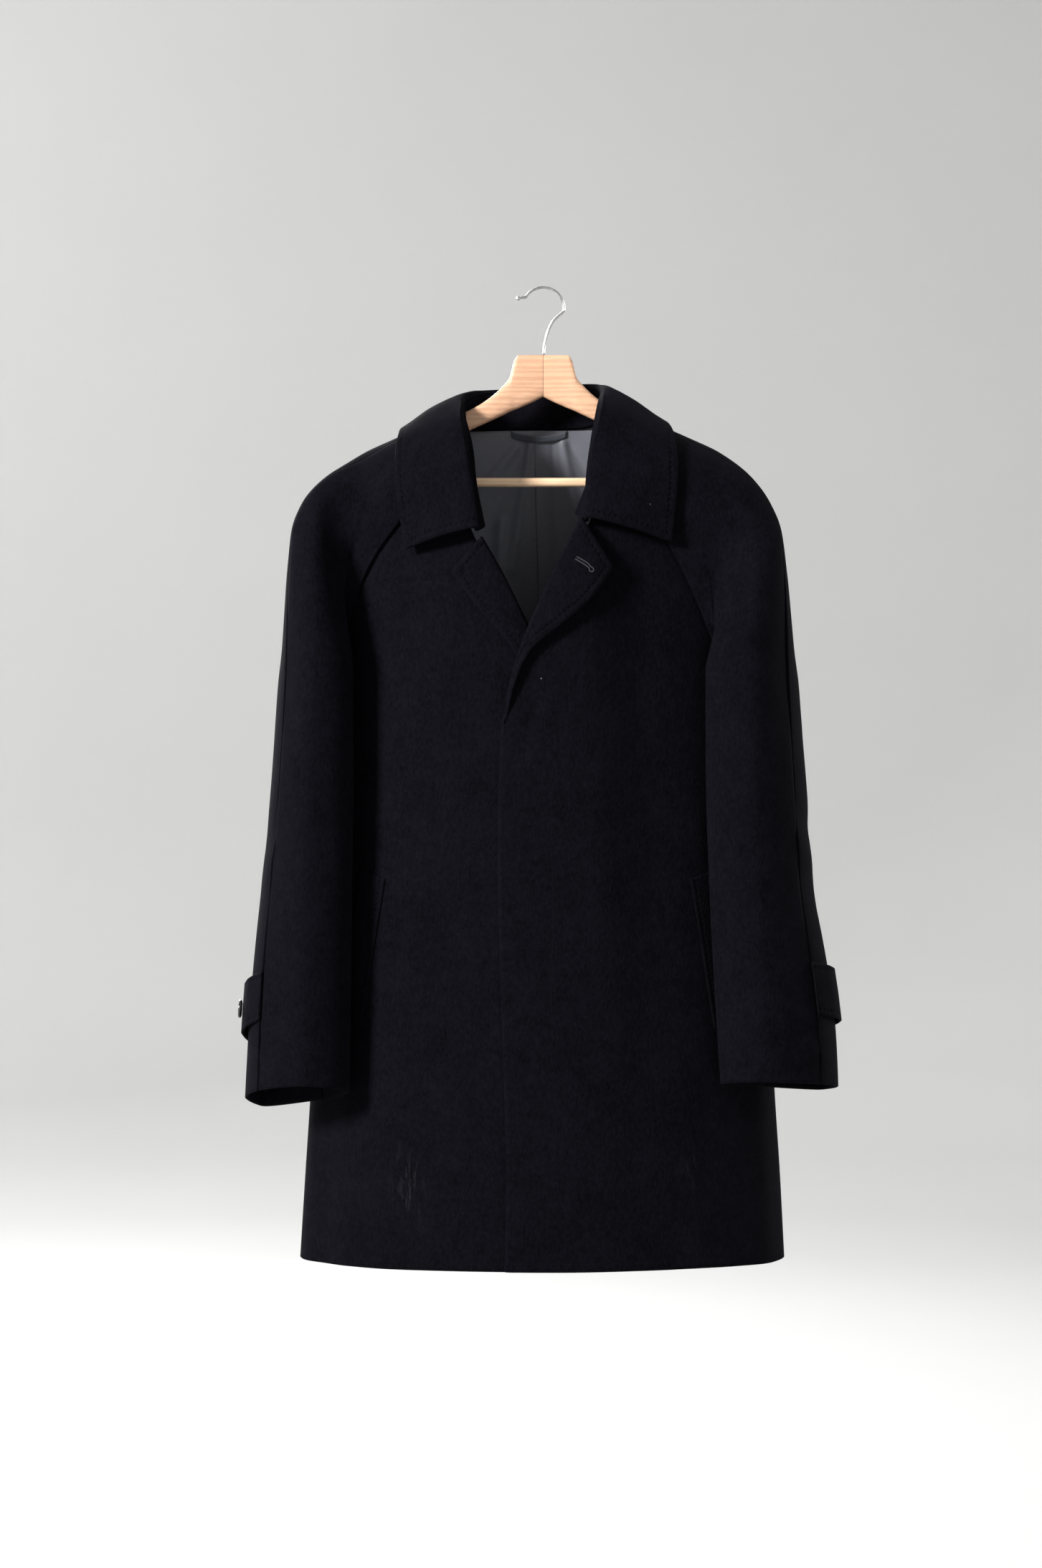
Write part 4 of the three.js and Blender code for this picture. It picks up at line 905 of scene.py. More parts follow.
# %% [markdown]
# ## Sleeves
# A raglan sleeve runs from the cuff to the neck. Below the underarm each row goes once round the
# arm: along the body, over the fold beside the chest, the crown, the outer seam and the heel. Above
# it each row is an arch over the shoulder between the front and back seams. Twelve named points a
# row are enough, because smooth curves join them both ways.
# %% Sleeve sections
sleeve_names = ["z", "fold_x", "fold_y", "crown_x", "crown_y", "outer_x", "outer_y", "heel_x", "heel_y", "under"]
sleeve_right = table(sleeve_names, [
    [-864, 188, -70, 243, -95, 317, -38, 300, 8, -24],
    [-800, 184, -70, 240, -97, 314, -36, 297, 14, -18],
    [-731, 180, -71, 233, -99, 305, -34, 288, 20, -10],
    [-650, 176, -72, 229, -99, 291, -31, 274, 27, -3],
    [-560, 173, -72, 226, -99, 285, -29, 267, 31, 2],
    [-470, 172, -73, 225, -98, 277, -26, 259, 32, 4],
    [-395, 172, -76, 222, -98, 270, -22, 253, 34, 4],
])
sleeve_left = table(sleeve_names, [
    [-876, -207, -66, -262, -95, -321, -38, -304, 10, -24],
    [-800, -206, -67, -262, -97, -317, -36, -300, 15, -18],
    [-731, -205, -68, -260, -99, -312, -34, -295, 20, -10],
    [-650, -204, -69, -256, -99, -304, -31, -287, 27, -3],
    [-560, -203, -70, -252, -99, -295, -29, -276, 31, 2],
    [-470, -203, -71, -248, -98, -288, -26, -268, 33, 4],
    [-395, -203, -72, -245, -97, -282, -22, -262, 34, 4],
])
ridge_right = table(["row", "x", "y", "z"], [
    [0, 270, -22, -395],
    [1, 266.5, -20, -353],
    [2, 262.5, -17, -313],
    [3, 253, -14, -272],
    [4, 238, -12, -235],
    [5, 219, -11, -203],
    [6, 191, -9, -179.5],
    [7, 157, -6, -163],
    [8, 118, -3, -145.7],
    [9, 80, 0, -128],
])
ridge_left = table(["row", "x", "y", "z"], [
    [0, -282, -22, -395],
    [1, -279, -20, -353],
    [2, -275.5, -17, -313],
    [3, -265, -14, -272],
    [4, -248, -12, -235],
    [5, -225, -11, -203],
    [6, -195, -9, -180],
    [7, -163, -6, -165],
    [8, -129, -3, -150],
    [9, -94, 0, -134.4],
])
fullness = table(["row", "front", "back", "fold_right", "fold_left"], [
    [0, 0, 0, 1, 1],
    [1, 8, 6, 1, 1],
    [2, 8, 6, 0.92, 0.96],
    [3, 8, 6, 0.72, 0.82],
    [4, 7, 6, 0.4, 0.52],
    [5, 6, 6, 0.14, 0.2],
    [6, 5, 5, 0, 0.04],
    [7, 4, 4, 0, 0],
    [8, 3, 3, 0, 0],
    [9, 2, 2, 0, 0],
])
inner_clearance, lap_lift = 7.0, cloth + 0.5
cuff_tilt = {True: -0.17, False: -0.3}


def bean_points(z, right, start, start_lift):
    """Named points round the arm at one height: 0 to 3 inside, 4 fold, 6 crown, 8 outer, 10 heel."""
    columns = sleeve_right if right else sleeve_left
    s = {name: float(look(columns, name, z)) for name in sleeve_names}
    fold_angle = float(body_angle(s["fold_x"] + (11 if right else -11), z, -1))
    end = min(fold_angle, start - 2) if right else max(fold_angle, start + 2)
    inside = [off_body(lerp(start, end, k / 3), z, lerp(start_lift, inner_clearance, min(1, k / 2)))
              for k in range(4)]
    between = lambda a, b, sx, sy: vec(lerp(s[a + "_x"], s[b + "_x"], sx), lerp(s[a + "_y"], s[b + "_y"], sy), z)
    return np.array([
        *inside,
        between("fold", "fold", 0, 0),
        between("fold", "crown", 0.36, 0.75),
        between("crown", "crown", 0, 0),
        between("crown", "outer", 0.7, 0.36),
        between("outer", "outer", 0, 0),
        between("outer", "heel", 0.4, 0.72),
        between("heel", "heel", 0, 0),
    ])


def raglan_row(i, right):
    """An arch over the shoulder, from the front raglan seam to the back one."""
    get = lambda name: float(look(fullness, name, i))
    fold = get("fold_right" if right else "fold_left")
    ridge = np.array([float(look(ridge_right if right else ridge_left, n, i)) for n in "xyz"])
    front_z, back_z = float(rise(i, front_neck_z)), float(rise(i, back_neck_z))
    front_angle, back_angle = float(front_seam_angle(front_z, right)), float(back_seam_angle(back_z, right))
    start_lift = lap_lift + 1.4 * fold
    start = off_body(front_angle, front_z, start_lift)
    end = off_body(back_angle, back_z, start_lift if i == 0 else lap_lift)

    def quarter(corner, share, bulge):
        angle = share * math.pi / 2
        drop = 1 - math.cos(angle)
        return np.array([
            lerp(ridge[0], corner[0], drop),
            lerp(ridge[1], corner[1], math.sin(angle)) + bulge * math.sin(math.pi * share),
            lerp(ridge[2], corner[2], drop),
        ])

    bean = bean_points(min(front_z, -395.0), right, front_angle, start_lift)
    row = []
    for k, share in enumerate([1, 0.93, 0.86, 0.79, 0.7, 0.57, 0.4, 0.2, 0]):
        plain = quarter(start, share, -get("front"))
        if 0 < k < 8:
            across = np.clip((bean[k, 0] - bean[4, 0]) / (ridge[0] - bean[4, 0]), 0, 1)
            bean[k, 2] = lerp(front_z, ridge[2], across)
            plain = lerp(plain, bean[k], fold)
        row.append(plain)
    heel_fold = float(smooth(4.5, 0, i)) if i > 0 else 1.0
    for k, share in enumerate([0.35, 0.7, 1]):
        plain = quarter(end, share, get("back"))
        if k < 2:
            turned = bean[9 + k].copy()
            across = np.clip((turned[0] - end[0]) / (ridge[0] - end[0]), 0, 1)
            turned[2] = lerp(end[2], ridge[2], across)
            plain = lerp(plain, turned, heel_fold)
        row.append(plain)
    return np.array(row)


def arm_row(i, right):
    """A row round the arm below the underarm, its plane turning into that of the cuff."""
    share = i / sleeve_rows
    z = lerp(-864 if right else -876, -395 - 15, share)
    columns = sleeve_right if right else sleeve_left
    under = float(look(columns, "under", z))
    points = bean_points(z, right, under if right else -180 - under, inner_clearance)
    points = np.concatenate([points, points[:1]])
    fold_x, outer_x = float(look(columns, "fold_x", z)), float(look(columns, "outer_x", z))
    across = np.clip((points[:, 0] - fold_x) / (outer_x - fold_x), 0, 1)
    tilt = cuff_tilt[right] * float(smooth(0.9, 0, share))
    slant = 30 * float(smooth(0.5, 1, share))
    points[:, 2] += tilt * (points[:, 1] + 35) + slant * (across - 0.5)
    return points


sleeve_parts = [1, 1, 1, 1, 2, 2, 2, 2, 2, 2, 2]
front_quads = sum(sleeve_parts[:7])


def coarse_sleeve(right):
    """Grid of a whole sleeve from cuff to neck with the quads of its solids."""
    rows = [arm_row(i, right) for i in range(sleeve_rows)]
    rows += [raglan_row(i, right) for i in range(raglan_rows + 1)]
    at = np.concatenate([[0], *[k + np.arange(1, n + 1) / n for k, n in enumerate(sleeve_parts)]])
    grid = curve_through(np.array(rows), at)
    return grid if right else grid[:, ::-1]


def fine_sleeve(right, up=9, along=8):
    """The same sleeve with many quads, its columns smooth too."""
    rows = [arm_row(i, right) for i in range(sleeve_rows)]
    rows += [raglan_row(i, right) for i in range(raglan_rows + 1)]
    at = np.concatenate([[0], *[k + np.arange(1, n * along + 1) / (n * along) for k, n in enumerate(sleeve_parts)]])
    grid = curve_through(np.array(rows), at)
    grid = steady_through(grid, np.arange((len(rows) - 1) * up + 1) / up)
    return grid if right else grid[:, ::-1]


def tube_normals(grid, closed_rows):
    """Grid normals, the same on both sides of the seam where the rows close round the arm."""
    normals = grid_normals(grid)
    mean = unit(normals[:closed_rows, 0] + normals[:closed_rows, -1])
    normals[:closed_rows, 0] = mean
    normals[:closed_rows, -1] = mean
    return normals


sleeves = {}
for right, side in ((True, "left"), (False, "right")):
    grid = fine_sleeve(right)
    normals = tube_normals(grid, 14 * 9)
    split = front_quads * 8 if right else grid.shape[1] - 1 - front_quads * 8
    halves = [(slice(0, split + 1), "front" if right else "back"),
              (slice(split, None), "back" if right else "front")]
    for columns, half in halves:
        sleeves[side, half] = piece_of_cloth(
            f"sleeve_{side}_{half}", grid[:, columns], normals[:, columns], cloth, "b"
        )

# %% [markdown]
# ## Collar and lapels
# The collar is one surface through three lines: the neck seam, the roll and the free edge. It is
# settled on what lies under it: every point of the fall that would lie too deep is lifted off the
# nearest place below, and the lifts are averaged so that the cloth stays smooth.
# %% Collar
collar_names = ["u", "nx", "ny", "nz", "rx", "ry", "rz", "ex", "ey", "ez"]
collar_right = table(collar_names, [
    [-0.12, -40, 35, -150, -38, 40, -104, -50, 59, -185],
    [0, -8, 36, -150, -8, 41, -103, -8, 60, -185],
    [0.12, 24, 35, -150, 22, 40, -101, 34, 59, -184],
    [0.25, 50, 29, -148, 46, 34, -99, 78, 53, -180],
    [0.37, 66, 15, -139, 59, 18, -102, 110, 36, -167],
    [0.5, 71, -3, -125, 63, -3, -109, 128, 3, -145],
    [0.62, 67, -28, -141, 58, -30, -129, 136, -28, -160],
    [0.75, 58, -52, -178, 51, -56, -165, 139, -52, -196],
    [0.87, 46, -66, -216, 45, -76, -208, 140, -68, -236],
    [1, 33, -74, -250, 42, -96, -257, 136.5, -81, -281],
])
collar_left = table(collar_names, [
    [-0.12, 24, 35, -150, 22, 40, -101, 34, 59, -184],
    [0, -8, 36, -150, -8, 41, -103, -8, 60, -185],
    [0.12, -40, 35, -150, -38, 40, -104, -50, 59, -185],
    [0.25, -66, 29, -149, -62, 33, -106, -96, 53, -182],
    [0.37, -80, 14, -143, -78, 14, -110, -130, 36, -172],
    [0.5, -88, -3, -133, -86, -4, -119, -151, 3, -152],
    [0.62, -83, -28, -146, -84, -30, -135, -154, -28, -168],
    [0.75, -75, -52, -180, -81, -57, -166, -155.5, -52, -202],
    [0.87, -71, -66, -218, -76, -76, -210, -155, -67, -240],
    [1, -62, -77, -264, -68, -96, -267, -147, -80, -288],
])
collar_rows, collar_turn, stand_quads, collar_settled, collar_air = 18, 5.6, 2, 7, 2.6


def collar_at(share):
    """Points of neck seam, roll and free edge at shares of the way from the back centre to each end."""
    share = np.asarray(share, float)
    get = lambda name: np.where(share < 0, look(collar_left, name, np.abs(share)),
                                look(collar_right, name, np.abs(share)))
    return [vec(get(p + "x"), get(p + "y"), get(p + "z")) for p in "nre"]


def collar_grid():
    """Collar columns curve from the neck seam over the roll to the free edge."""
    share = np.arange(2 * collar_rows + 1) / collar_rows - 1
    neck, roll, edge = collar_at(share)
    path = unit(collar_at(np.minimum(1, share + 0.03))[1] - collar_at(np.maximum(-1, share - 0.03))[1])
    tip = unit(roll - lerp(neck, edge, 0.5))
    outwards = unit(np.cross(tip, path))
    inside = roll - outwards * collar_turn - 0.8 * collar_turn * tip
    after = roll + outwards * collar_turn - 0.8 * collar_turn * tip
    lower = lerp(after, edge, 0.5) + 5 * outwards
    named = np.stack([neck, inside, roll, after, lower, edge], axis=1)
    at = np.concatenate([[0], *[k + np.arange(1, n + 1) / n for k, n in enumerate([stand_quads, 3, 3, 3, 3])]])
    return curve_through(named, at).transpose(1, 0, 2)


def averaged(field):
    """Each value of a grid averaged with its four neighbours, its own counted twice."""
    padded = np.pad(field, ((1, 1), (1, 1), (0, 0)), mode="edge")
    around = padded[:-2, 1:-1] + padded[2:, 1:-1] + padded[1:-1, :-2] + padded[1:-1, 2:]
    return (2 * field + around) / 6


def settled(points, supports, distance):
    """How far points must move to lie a distance off the nearest place of the given walls."""
    places = np.concatenate([grid.reshape(-1, 3) for grid, _ in supports])
    normals = np.concatenate([n.reshape(-1, 3) for _, n in supports])
    flat = points.reshape(-1, 3)
    nearest = np.argmin(((flat[:, None] - places[None]) ** 2).sum(-1), axis=1)
    height = ((flat - places[nearest]) * normals[nearest]).sum(-1)
    return (normals[nearest] * np.maximum(0, distance - height)[:, None]).reshape(points.shape)


collar = collar_grid()
supports = [front_grid(True), front_grid(False), back_grid()]
for right in (True, False):
    grid = coarse_sleeve(right)
    supports.append((grid, tube_normals(grid, sleeve_rows + 1)))
for _ in range(3):
    lift = settled(collar[collar_settled:], supports, collar_cloth + collar_air)
    collar[collar_settled:] += averaged(averaged(lift))
collar = refined(collar, 6, 5)
normals = grid_normals(collar)
cut = stand_quads * 6
piece_of_cloth("collar_stand", collar[:cut + 1], normals[:cut + 1], collar_cloth,
               "lr")
fall = piece_of_cloth("collar_fall", collar[cut:], normals[cut:], collar_cloth,
                      "tlr", "tlr")

# %% Lapels


def chest(x, z, right):
    """Surface of a front at a place seen from the front."""
    point = body_point(body_angle(x, z, -1), z)
    if right:
        point[..., 1] -= front_lift(point[..., 0], z)
    return point


lapel_stand = table(["t", "depth", "edge"], [[0, 7.4, 7.2], [0.3, 8.5, 7.5], [0.6, 11, 10], [1, 13, 13]])


def lapel_grid(right, rows=12):
    """Each row leaves the inside of the front, turns round the roll and lies over the chest."""
    t = np.arange(rows + 1) / rows
    edge, outwards, turn, centre = roll_centre(t, right)
    out = emerging(t, right)
    depth = lerp(2.2, look(lapel_stand, "depth", t), out)
    stand_off = lerp(-0.4, look(lapel_stand, "edge", t), out)
    inside_y = chest(centre[:, 0], centre[:, 2], right)[:, 1] + cloth
    round_part = []
    for degrees in (-90, -45, 0, 45, 90):
        angle = math.radians(degrees)
        point = centre - outwards * (turn * math.cos(angle))[:, None]
        point[:, 1] = inside_y - depth / 2 * (1 + math.sin(angle))
        round_part.append(point)
    tip = vec(edge[:, 0], chest(edge[:, 0], edge[:, 2], right)[:, 1] - stand_off, edge[:, 2])
    flat = []
    for share in (0.3, 0.65, 1):
        point = lerp(round_part[-1], tip, share)
        point[:, 1] -= 2.5 * t * math.sin(math.pi * share)
        flat.append(point)
    grid = np.stack(round_part + flat, axis=1)
    return grid if right else grid[:, ::-1]


lapels = {}
for right, side in ((True, "left"), (False, "right")):
    grid = refined(lapel_grid(right), 6, 5)
    ends = "tr" if right else "tl"
    lapels[side] = piece_of_cloth("facing_" + side, grid, grid_normals(grid), lapel_cloth,
                                  ends, ends)

# %% [markdown]
# ## Lining and loop
# The satin hangs just inside the back. A pleat runs down its middle, and folds fan out from the
# ends of the loop, where the cloth is gathered. The loop is a narrow tape that bows forward.
# %% Lining
lining_air = 1.4
# Columns: the two ends x0, z0 and x1, z1 in front view, then width and depth.
lining_folds = [
    [-20, -165, -62, -262, 6, -2.6],
    [-14, -165, -34, -300, 6, 2.2],
    [-30, -168, -84, -238, 6, 1.8],
    [10, -165, 16, -300, 5, -2.0],
    [22, -163, 44, -270, 6, 2.4],
    [30, -165, 66, -240, 6, -2.2],
    [-46, -250, -56, -420, 9, 2.4],
    [-26, -280, -30, -460, 8, -2.2],
    [24, -280, 22, -440, 9, 2.4],
    [46, -250, 52, -420, 9, -2.0],
    [-4, -244, 26, -246, 3, -1.0],
]


def pleat(degrees, z):
    """A knife pleat: it rises slowly from the left and falls back sharply at its folded edge."""
    off = (degrees - 90.6) * 4.0
    rise_part = np.where(off > 0, (1 - np.clip(off / 17, 0, 1)) ** 1.5, 1 - smooth(0, 1.4, -off))
    return 2.4 * rise_part * smooth(-760, -420, z) * (1 - 0.8 * smooth(-205, -165, z))


def lining_point(degrees, z, inwards):
    """Points just inside the back, further in along the centre pleat."""
    return off_body(degrees, z, -cloth - lining_air - pleat(degrees, z) - inwards)


def lining_grid(rows, columns):
    """Level rows of the lining between the two raglan seams, its columns closest at the pleat."""
    across = np.linspace(-1, 1, columns + 1)[None, :]
    upper = back_neck_z + 5 - 4 * across
    z = hem_z + 30 + (upper - hem_z - 30) * (np.linspace(0, 1, rows + 1)[:, None] ** 0.8)
    start = np.maximum(7, np.degrees(np.arccos(np.minimum(1, look(back_raglan_seam, "share", z)))) + 1)
    angles = 90 + (90 - start) * (0.3 * across + 0.7 * across**3)
    return lining_point(angles, z, 0.0)


lining = lining_grid(200, 130)
inwards = -grid_normals(lining)
for x0, z0, x1, z1, width, depth in lining_folds:
    along = np.array([x1 - x0, z1 - z0], float)
    place = lining[..., [0, 2]] - [x0, z0]
    share = np.clip(place @ along / (along @ along), 0, 1)
    distance = np.linalg.norm(place - share[..., None] * along, axis=-1)
    lining = lining + inwards * (max(depth, -0.9) * bump(0, width * (0.6 + 0.7 * share), distance))[..., None]
made = shell("cloth_lining_back", lining, lining_cloth, satin, "b")
declare(made, lining)

loop = dict(left=-35, right=26, top=-150, sag=5.5, width=6, seat=1.5, bow=2.4)


def loop_grid(rows=4, columns=40):
    """A tape that sags between its ends and bows towards the viewer in the middle."""
    down = np.linspace(1, 0, rows + 1)[:, None]
    share = 1 - np.linspace(0, 1, columns + 1)[None, :]
    x = lerp(loop["left"], loop["right"], share) + 0 * down
    z = loop["top"] - loop["sag"] * np.sin(math.pi * share) ** 0.6 - down * loop["width"]
    return lining_point(body_angle(x, z, 1), z, loop["seat"] + loop["bow"] * np.sin(math.pi * share) + 0 * down)


tape_grid = loop_grid()
made = shell("cloth_hanger_loop", tape_grid, 1.4, tape, "bt")
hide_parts("hanger_loop")
print("   area", area_of(tape_grid), "mm2")

# %% [markdown]
# ## Pockets and cuffs
# A welt is a narrow folded strip laid on the front over its slanted pocket. Straps leave the outer
# seam of the sleeve and go round to the back, where a button holds each.
# %% Welts
welt = dict(length=160, width=26, thickness=1.3, slant=26)


def welt_grid(x, z, right, rows=8, columns=2):
    """A slanted strip on the body, from its inner edge to the side."""
    side = 1 if right else -1
    down = 1 - np.linspace(0, 1, rows + 1)[:, None]
    over = np.linspace(0, 1, columns + 1)[None, :]
    px = x + side * (welt["slant"] * down + welt["width"] * over)
    pz = z - welt["length"] * down + 9 * over
    grid = off_body(body_angle(px, pz, -1), pz, welt["thickness"] + seam + 0.2 + 0 * px)
    return grid if right else grid[:, ::-1]


for name, x, right in (("left", 156, True), ("right", -169, False)):
    grid = welt_grid(x, -640, right, 64, 12)
    piece_of_cloth("pocket_welt_" + name, grid, grid_normals(grid), welt["thickness"],
                   "lrbt", "l" if right else "r", wool_strap)

# %% Straps
strap_thickness = 3
straps = [
    dict(side="left", right=True, top=-734, bottom=-789, drop=9, reach=4.4, button=0.8),
    dict(side="right", right=False, top=-748, bottom=-800, drop=13, reach=4.2, button=0.52),
]


def place_on(grid, normals, i, j):
    """Points and normals of a grid at fractional rows and columns."""
    a = np.clip(np.floor(i).astype(int), 0, grid.shape[0] - 2)
    b = np.clip(np.floor(j).astype(int), 0, grid.shape[1] - 2)
    s, t = (i - a)[..., None], (j - b)[..., None]
    mix = lambda f: lerp(lerp(f[a, b], f[a, b + 1], t), lerp(f[a + 1, b], f[a + 1, b + 1], t), s)
    return mix(grid), unit(mix(normals))


def strap_place(strap, grid, normals, share, up):
    """A place of a strap: share 0 at the seam and 1 at its end, up 0 at its lower edge."""
    share, up = np.broadcast_arrays(np.asarray(share, float), np.asarray(up, float))
    cuff_z = -864 if strap["right"] else -876
    z = lerp(strap["bottom"], strap["top"], up) - strap["drop"] * share
    row = sleeve_rows * (z - cuff_z) / (-410 - cuff_z)
    column = front_quads + strap["reach"] * share
    if not strap["right"]:
        column = grid.shape[1] - 1 - column
    point, normal = place_on(grid, normals, row, column)
    lift = strap_thickness + 0.8 + 4.5 * np.sin(math.pi * share) ** 0.8
    return point + normal * lift[..., None], normal


button_seats = {}
for strap in straps:
    grid = coarse_sleeve(strap["right"])
    normals = tube_normals(grid, sleeve_rows + 1)
    share = np.linspace(0, 1, 9)[None, :]
    band, _ = strap_place(strap, grid, normals, share, np.linspace(0, 1, 5)[:, None])
    if not strap["right"]:
        band = band[:, ::-1]
    band = refined(band, 6, 6)
    piece_of_cloth("cuff_strap_" + strap["side"], band, grid_normals(band), strap_thickness,
                   "lrbt", "rbt" if strap["right"] else "lbt", wool_strap)
    seat, normal = strap_place(strap, grid, normals, strap["button"], 0.5)
    button_seats[strap["side"]] = (seat + 0.7 * normal, normal)
print("button seats", button_seats)

# %% [markdown]
# ## Buttons
# A button is a surface of two parameters, the distance from its axis and the turn round it. The
# profile gives the rim and the dish, and four round pits are pressed into it for the holes. Two
# bars of thread join the holes.
# %% Buttons


def frame_of(normal):
    """Two unit vectors square to a normal, the first as upright as can be."""
    up = unit(np.array([0.0, 0.0, 1.0]) - normal * normal[2])
    return up, np.cross(up, normal)


def button_points(rings=40, turns=96):
    """Front and back of a dished button: radius r and height h(r), with four pits of depth 2.2."""
    r = np.linspace(0, 10, rings + 1)[1:]
    angle = 2 * math.pi * np.arange(turns) / turns
    profile_r = [0, 7.6, 8.2, 8.9, 9.4, 9.8, 10]
    profile_h = [2.7, 2.7, 3.05, 3.75, 3.8, 3.3, 2.4]
    u, v = r[:, None] * np.cos(angle), r[:, None] * np.sin(angle)
    h = np.interp(r, profile_r, profile_h)[:, None] + 0 * u
    for degrees in (45, 135, 225, 315):
        cx, cy = 2.3 * math.cos(math.radians(degrees)), 2.3 * math.sin(math.radians(degrees))
        away = np.hypot(u - cx, v - cy)
        h = h - 2.2 * (1 - smooth(0.75, 1.15, away)) + 0.12 * bump(1.35, 0.25, away)
    back_r = np.array([9.5, 7, 3.5])
    back = np.stack([back_r[:, None] * np.cos(angle), back_r[:, None] * np.sin(angle),
                     np.array([0.9, 0.05, 0])[:, None] + 0 * (back_r[:, None] * angle)], axis=-1)
    front = np.stack([u, v, h], axis=-1)
    return np.concatenate([front, back])


def revolved_faces(rings, turns):
    """Quads between rings and triangles round the two poles, which are the last two points."""
    i, j = np.meshgrid(np.arange(rings - 1), np.arange(turns), indexing="ij")
    k = (j + 1) % turns
    quads = np.stack([i * turns + j, (i + 1) * turns + j, (i + 1) * turns + k, i * turns + k], axis=-1)
    j = np.arange(turns)
    k = (j + 1) % turns
    first, last = rings * turns, rings * turns + 1
    caps = np.concatenate([
        np.stack([np.full(turns, first), j, k], axis=1),
        np.stack([np.full(turns, last), (rings - 1) * turns + k, (rings - 1) * turns + j], axis=1),
    ])
    return [quads.reshape(-1, 4), caps]


def capsule(length, radius, rings=5, turns=6):
    """A small stitch along the first axis: rings of a lengthened ball."""
    a = np.linspace(0, math.pi, rings + 2)[1:-1]
    x = -np.cos(a) * length / 2
    rad = radius * np.sin(a) ** 0.6
    angle = 2 * math.pi * np.arange(turns) / turns
    ring = np.stack([x[:, None] + 0 * angle, rad[:, None] * np.cos(angle), rad[:, None] * np.sin(angle)], axis=-1)
    ends = np.array([[-length / 2, 0, 0], [length / 2, 0, 0]])
    return np.concatenate([ring.reshape(-1, 3), ends]), rings, turns


def threads(name, centres, directions, normals, length, radius, material=thread):
    """Many small stitches as one piece, each along its direction and lying on the cloth."""
    base, rings, turns = capsule(1, 1)
    ahead = unit(directions)
    normals = unit(normals - ahead * (normals * ahead).sum(-1, keepdims=True))
    across = np.cross(normals, ahead)
    length = np.broadcast_to(length, len(centres))[:, None, None]
    points = centres[:, None] + length * base[None, :, :1] * ahead[:, None] + radius * (
        base[None, :, 1:2] * across[:, None] + base[None, :, 2:3] * normals[:, None])
    quads, caps = revolved_faces(rings, turns)
    shift = (np.arange(len(centres)) * len(base))[:, None, None]
    faces = [(quads[None, :, ::-1] + shift).reshape(-1, 4), (caps[None, :, ::-1] + shift).reshape(-1, 3)]
    made = make_object(name, points.reshape(-1, 3), faces, material)
    print(name, len(centres), "stitches")
    return made


for side, (seat, normal) in button_seats.items():
    up, across = frame_of(normal)
    local = button_points()
    rings, turns = local.shape[:2]
    local = np.concatenate([local.reshape(-1, 3), [[0, 0, 2.7], [0, 0, 0]]])
    points = seat + local[:, :1] * across + local[:, 1:2] * up + local[:, 2:] * normal
    made = make_object("button_" + side, points, revolved_faces(rings, turns), horn)
    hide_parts("cuff_button_" + side)
    centres = np.array([seat + 2.9 * normal + across * a + up * b
                        for a, b in ((0.25, -0.25), (-0.25, 0.25), (0.25, 0.25), (-0.25, -0.25))])
    diagonals = np.array([across + up, across + up, across - up, across - up])
    threads("button_thread_" + side, centres, diagonals, np.tile(normal, (4, 1)), 4.4, 0.32)

# %% [markdown]
# ## Stitches
# Hand stitches run a few millimetres inside the edges of collar, lapels, front, welts and straps,
# and a machine seam holds the hidden fly. Each line of stitches is worked out on the grid of its
# piece: where a chosen distance from the border is reached, one stitch every few millimetres.
# %% Stitch lines


def even_places(path, pitch):
    """Fractional places along a path of points, one every pitch."""
    steps = np.linalg.norm(np.diff(path, axis=0), axis=-1)
    length = np.concatenate([[0], np.cumsum(steps)])
    wanted = np.arange(pitch / 2, length[-1], pitch)
    return np.interp(wanted, length, np.arange(len(path)))


def read_path(values, at):
    """Values of a path at fractional places, by straight lines."""
    k = np.clip(np.floor(at).astype(int), 0, len(values) - 2)
    return lerp(values[k], values[k + 1], (at - k)[:, None])


def inset_path(grid, normals, side, inset):
    """The line on a grid at a fixed distance inside one of its sides, with the normals there."""
    if side in "bt":
        grid, normals = grid.transpose(1, 0, 2), normals.transpose(1, 0, 2)
    if side in "rt":
        grid, normals = grid[:, ::-1], normals[:, ::-1]
    along, _ = lengths(grid)
    path, ups = [], []
    for row, normal, length in zip(grid, normals, along):
        at = np.array([np.interp(inset, length, np.arange(len(length)))])
        path.append(read_path(row, at)[0])
        ups.append(read_path(normal, at)[0])
    return np.array(path), np.array(ups)


def stitch_line(path, ups, pitch, trim=0.0):
    """Centres, directions and normals of stitches along a path, none within trim of its ends."""
    at = even_places(path, pitch)
    ahead = np.gradient(path, axis=0)
    centres, directions, up = read_path(path, at), read_path(ahead, at), unit(read_path(ups, at))
    length = np.concatenate([[0], np.cumsum(np.linalg.norm(np.diff(path, axis=0), axis=-1))])
    place = np.interp(at, np.arange(len(path)), length)
    keep = (place > trim) & (place < length[-1] - trim)
    return centres[keep], directions[keep], up[keep]


def edge_stitches(grid, sides, inset, pitch):
    """Stitch lines inside several sides of a grid."""
    normals = grid_normals(grid)
    return [stitch_line(*inset_path(grid, normals, side, inset), pitch, inset - 0.5) for side in sides]


def threaded(name, lines, length, radius, lift=-0.02):
    """One piece of thread from several stitch lines."""
    centres, directions, up = (np.concatenate(part) for part in zip(*lines))
    return threads(name, centres + lift * up, directions, up, length, radius)


threaded("stitches_collar", edge_stitches(fall, "tlr", 7, 6), 2.6, 0.28)
threaded("stitches_lapel_left", edge_stitches(lapels["left"], "tr", 7, 6), 2.6, 0.28)
threaded("stitches_lapel_right", edge_stitches(lapels["right"], "tl", 7, 6), 2.6, 0.28)

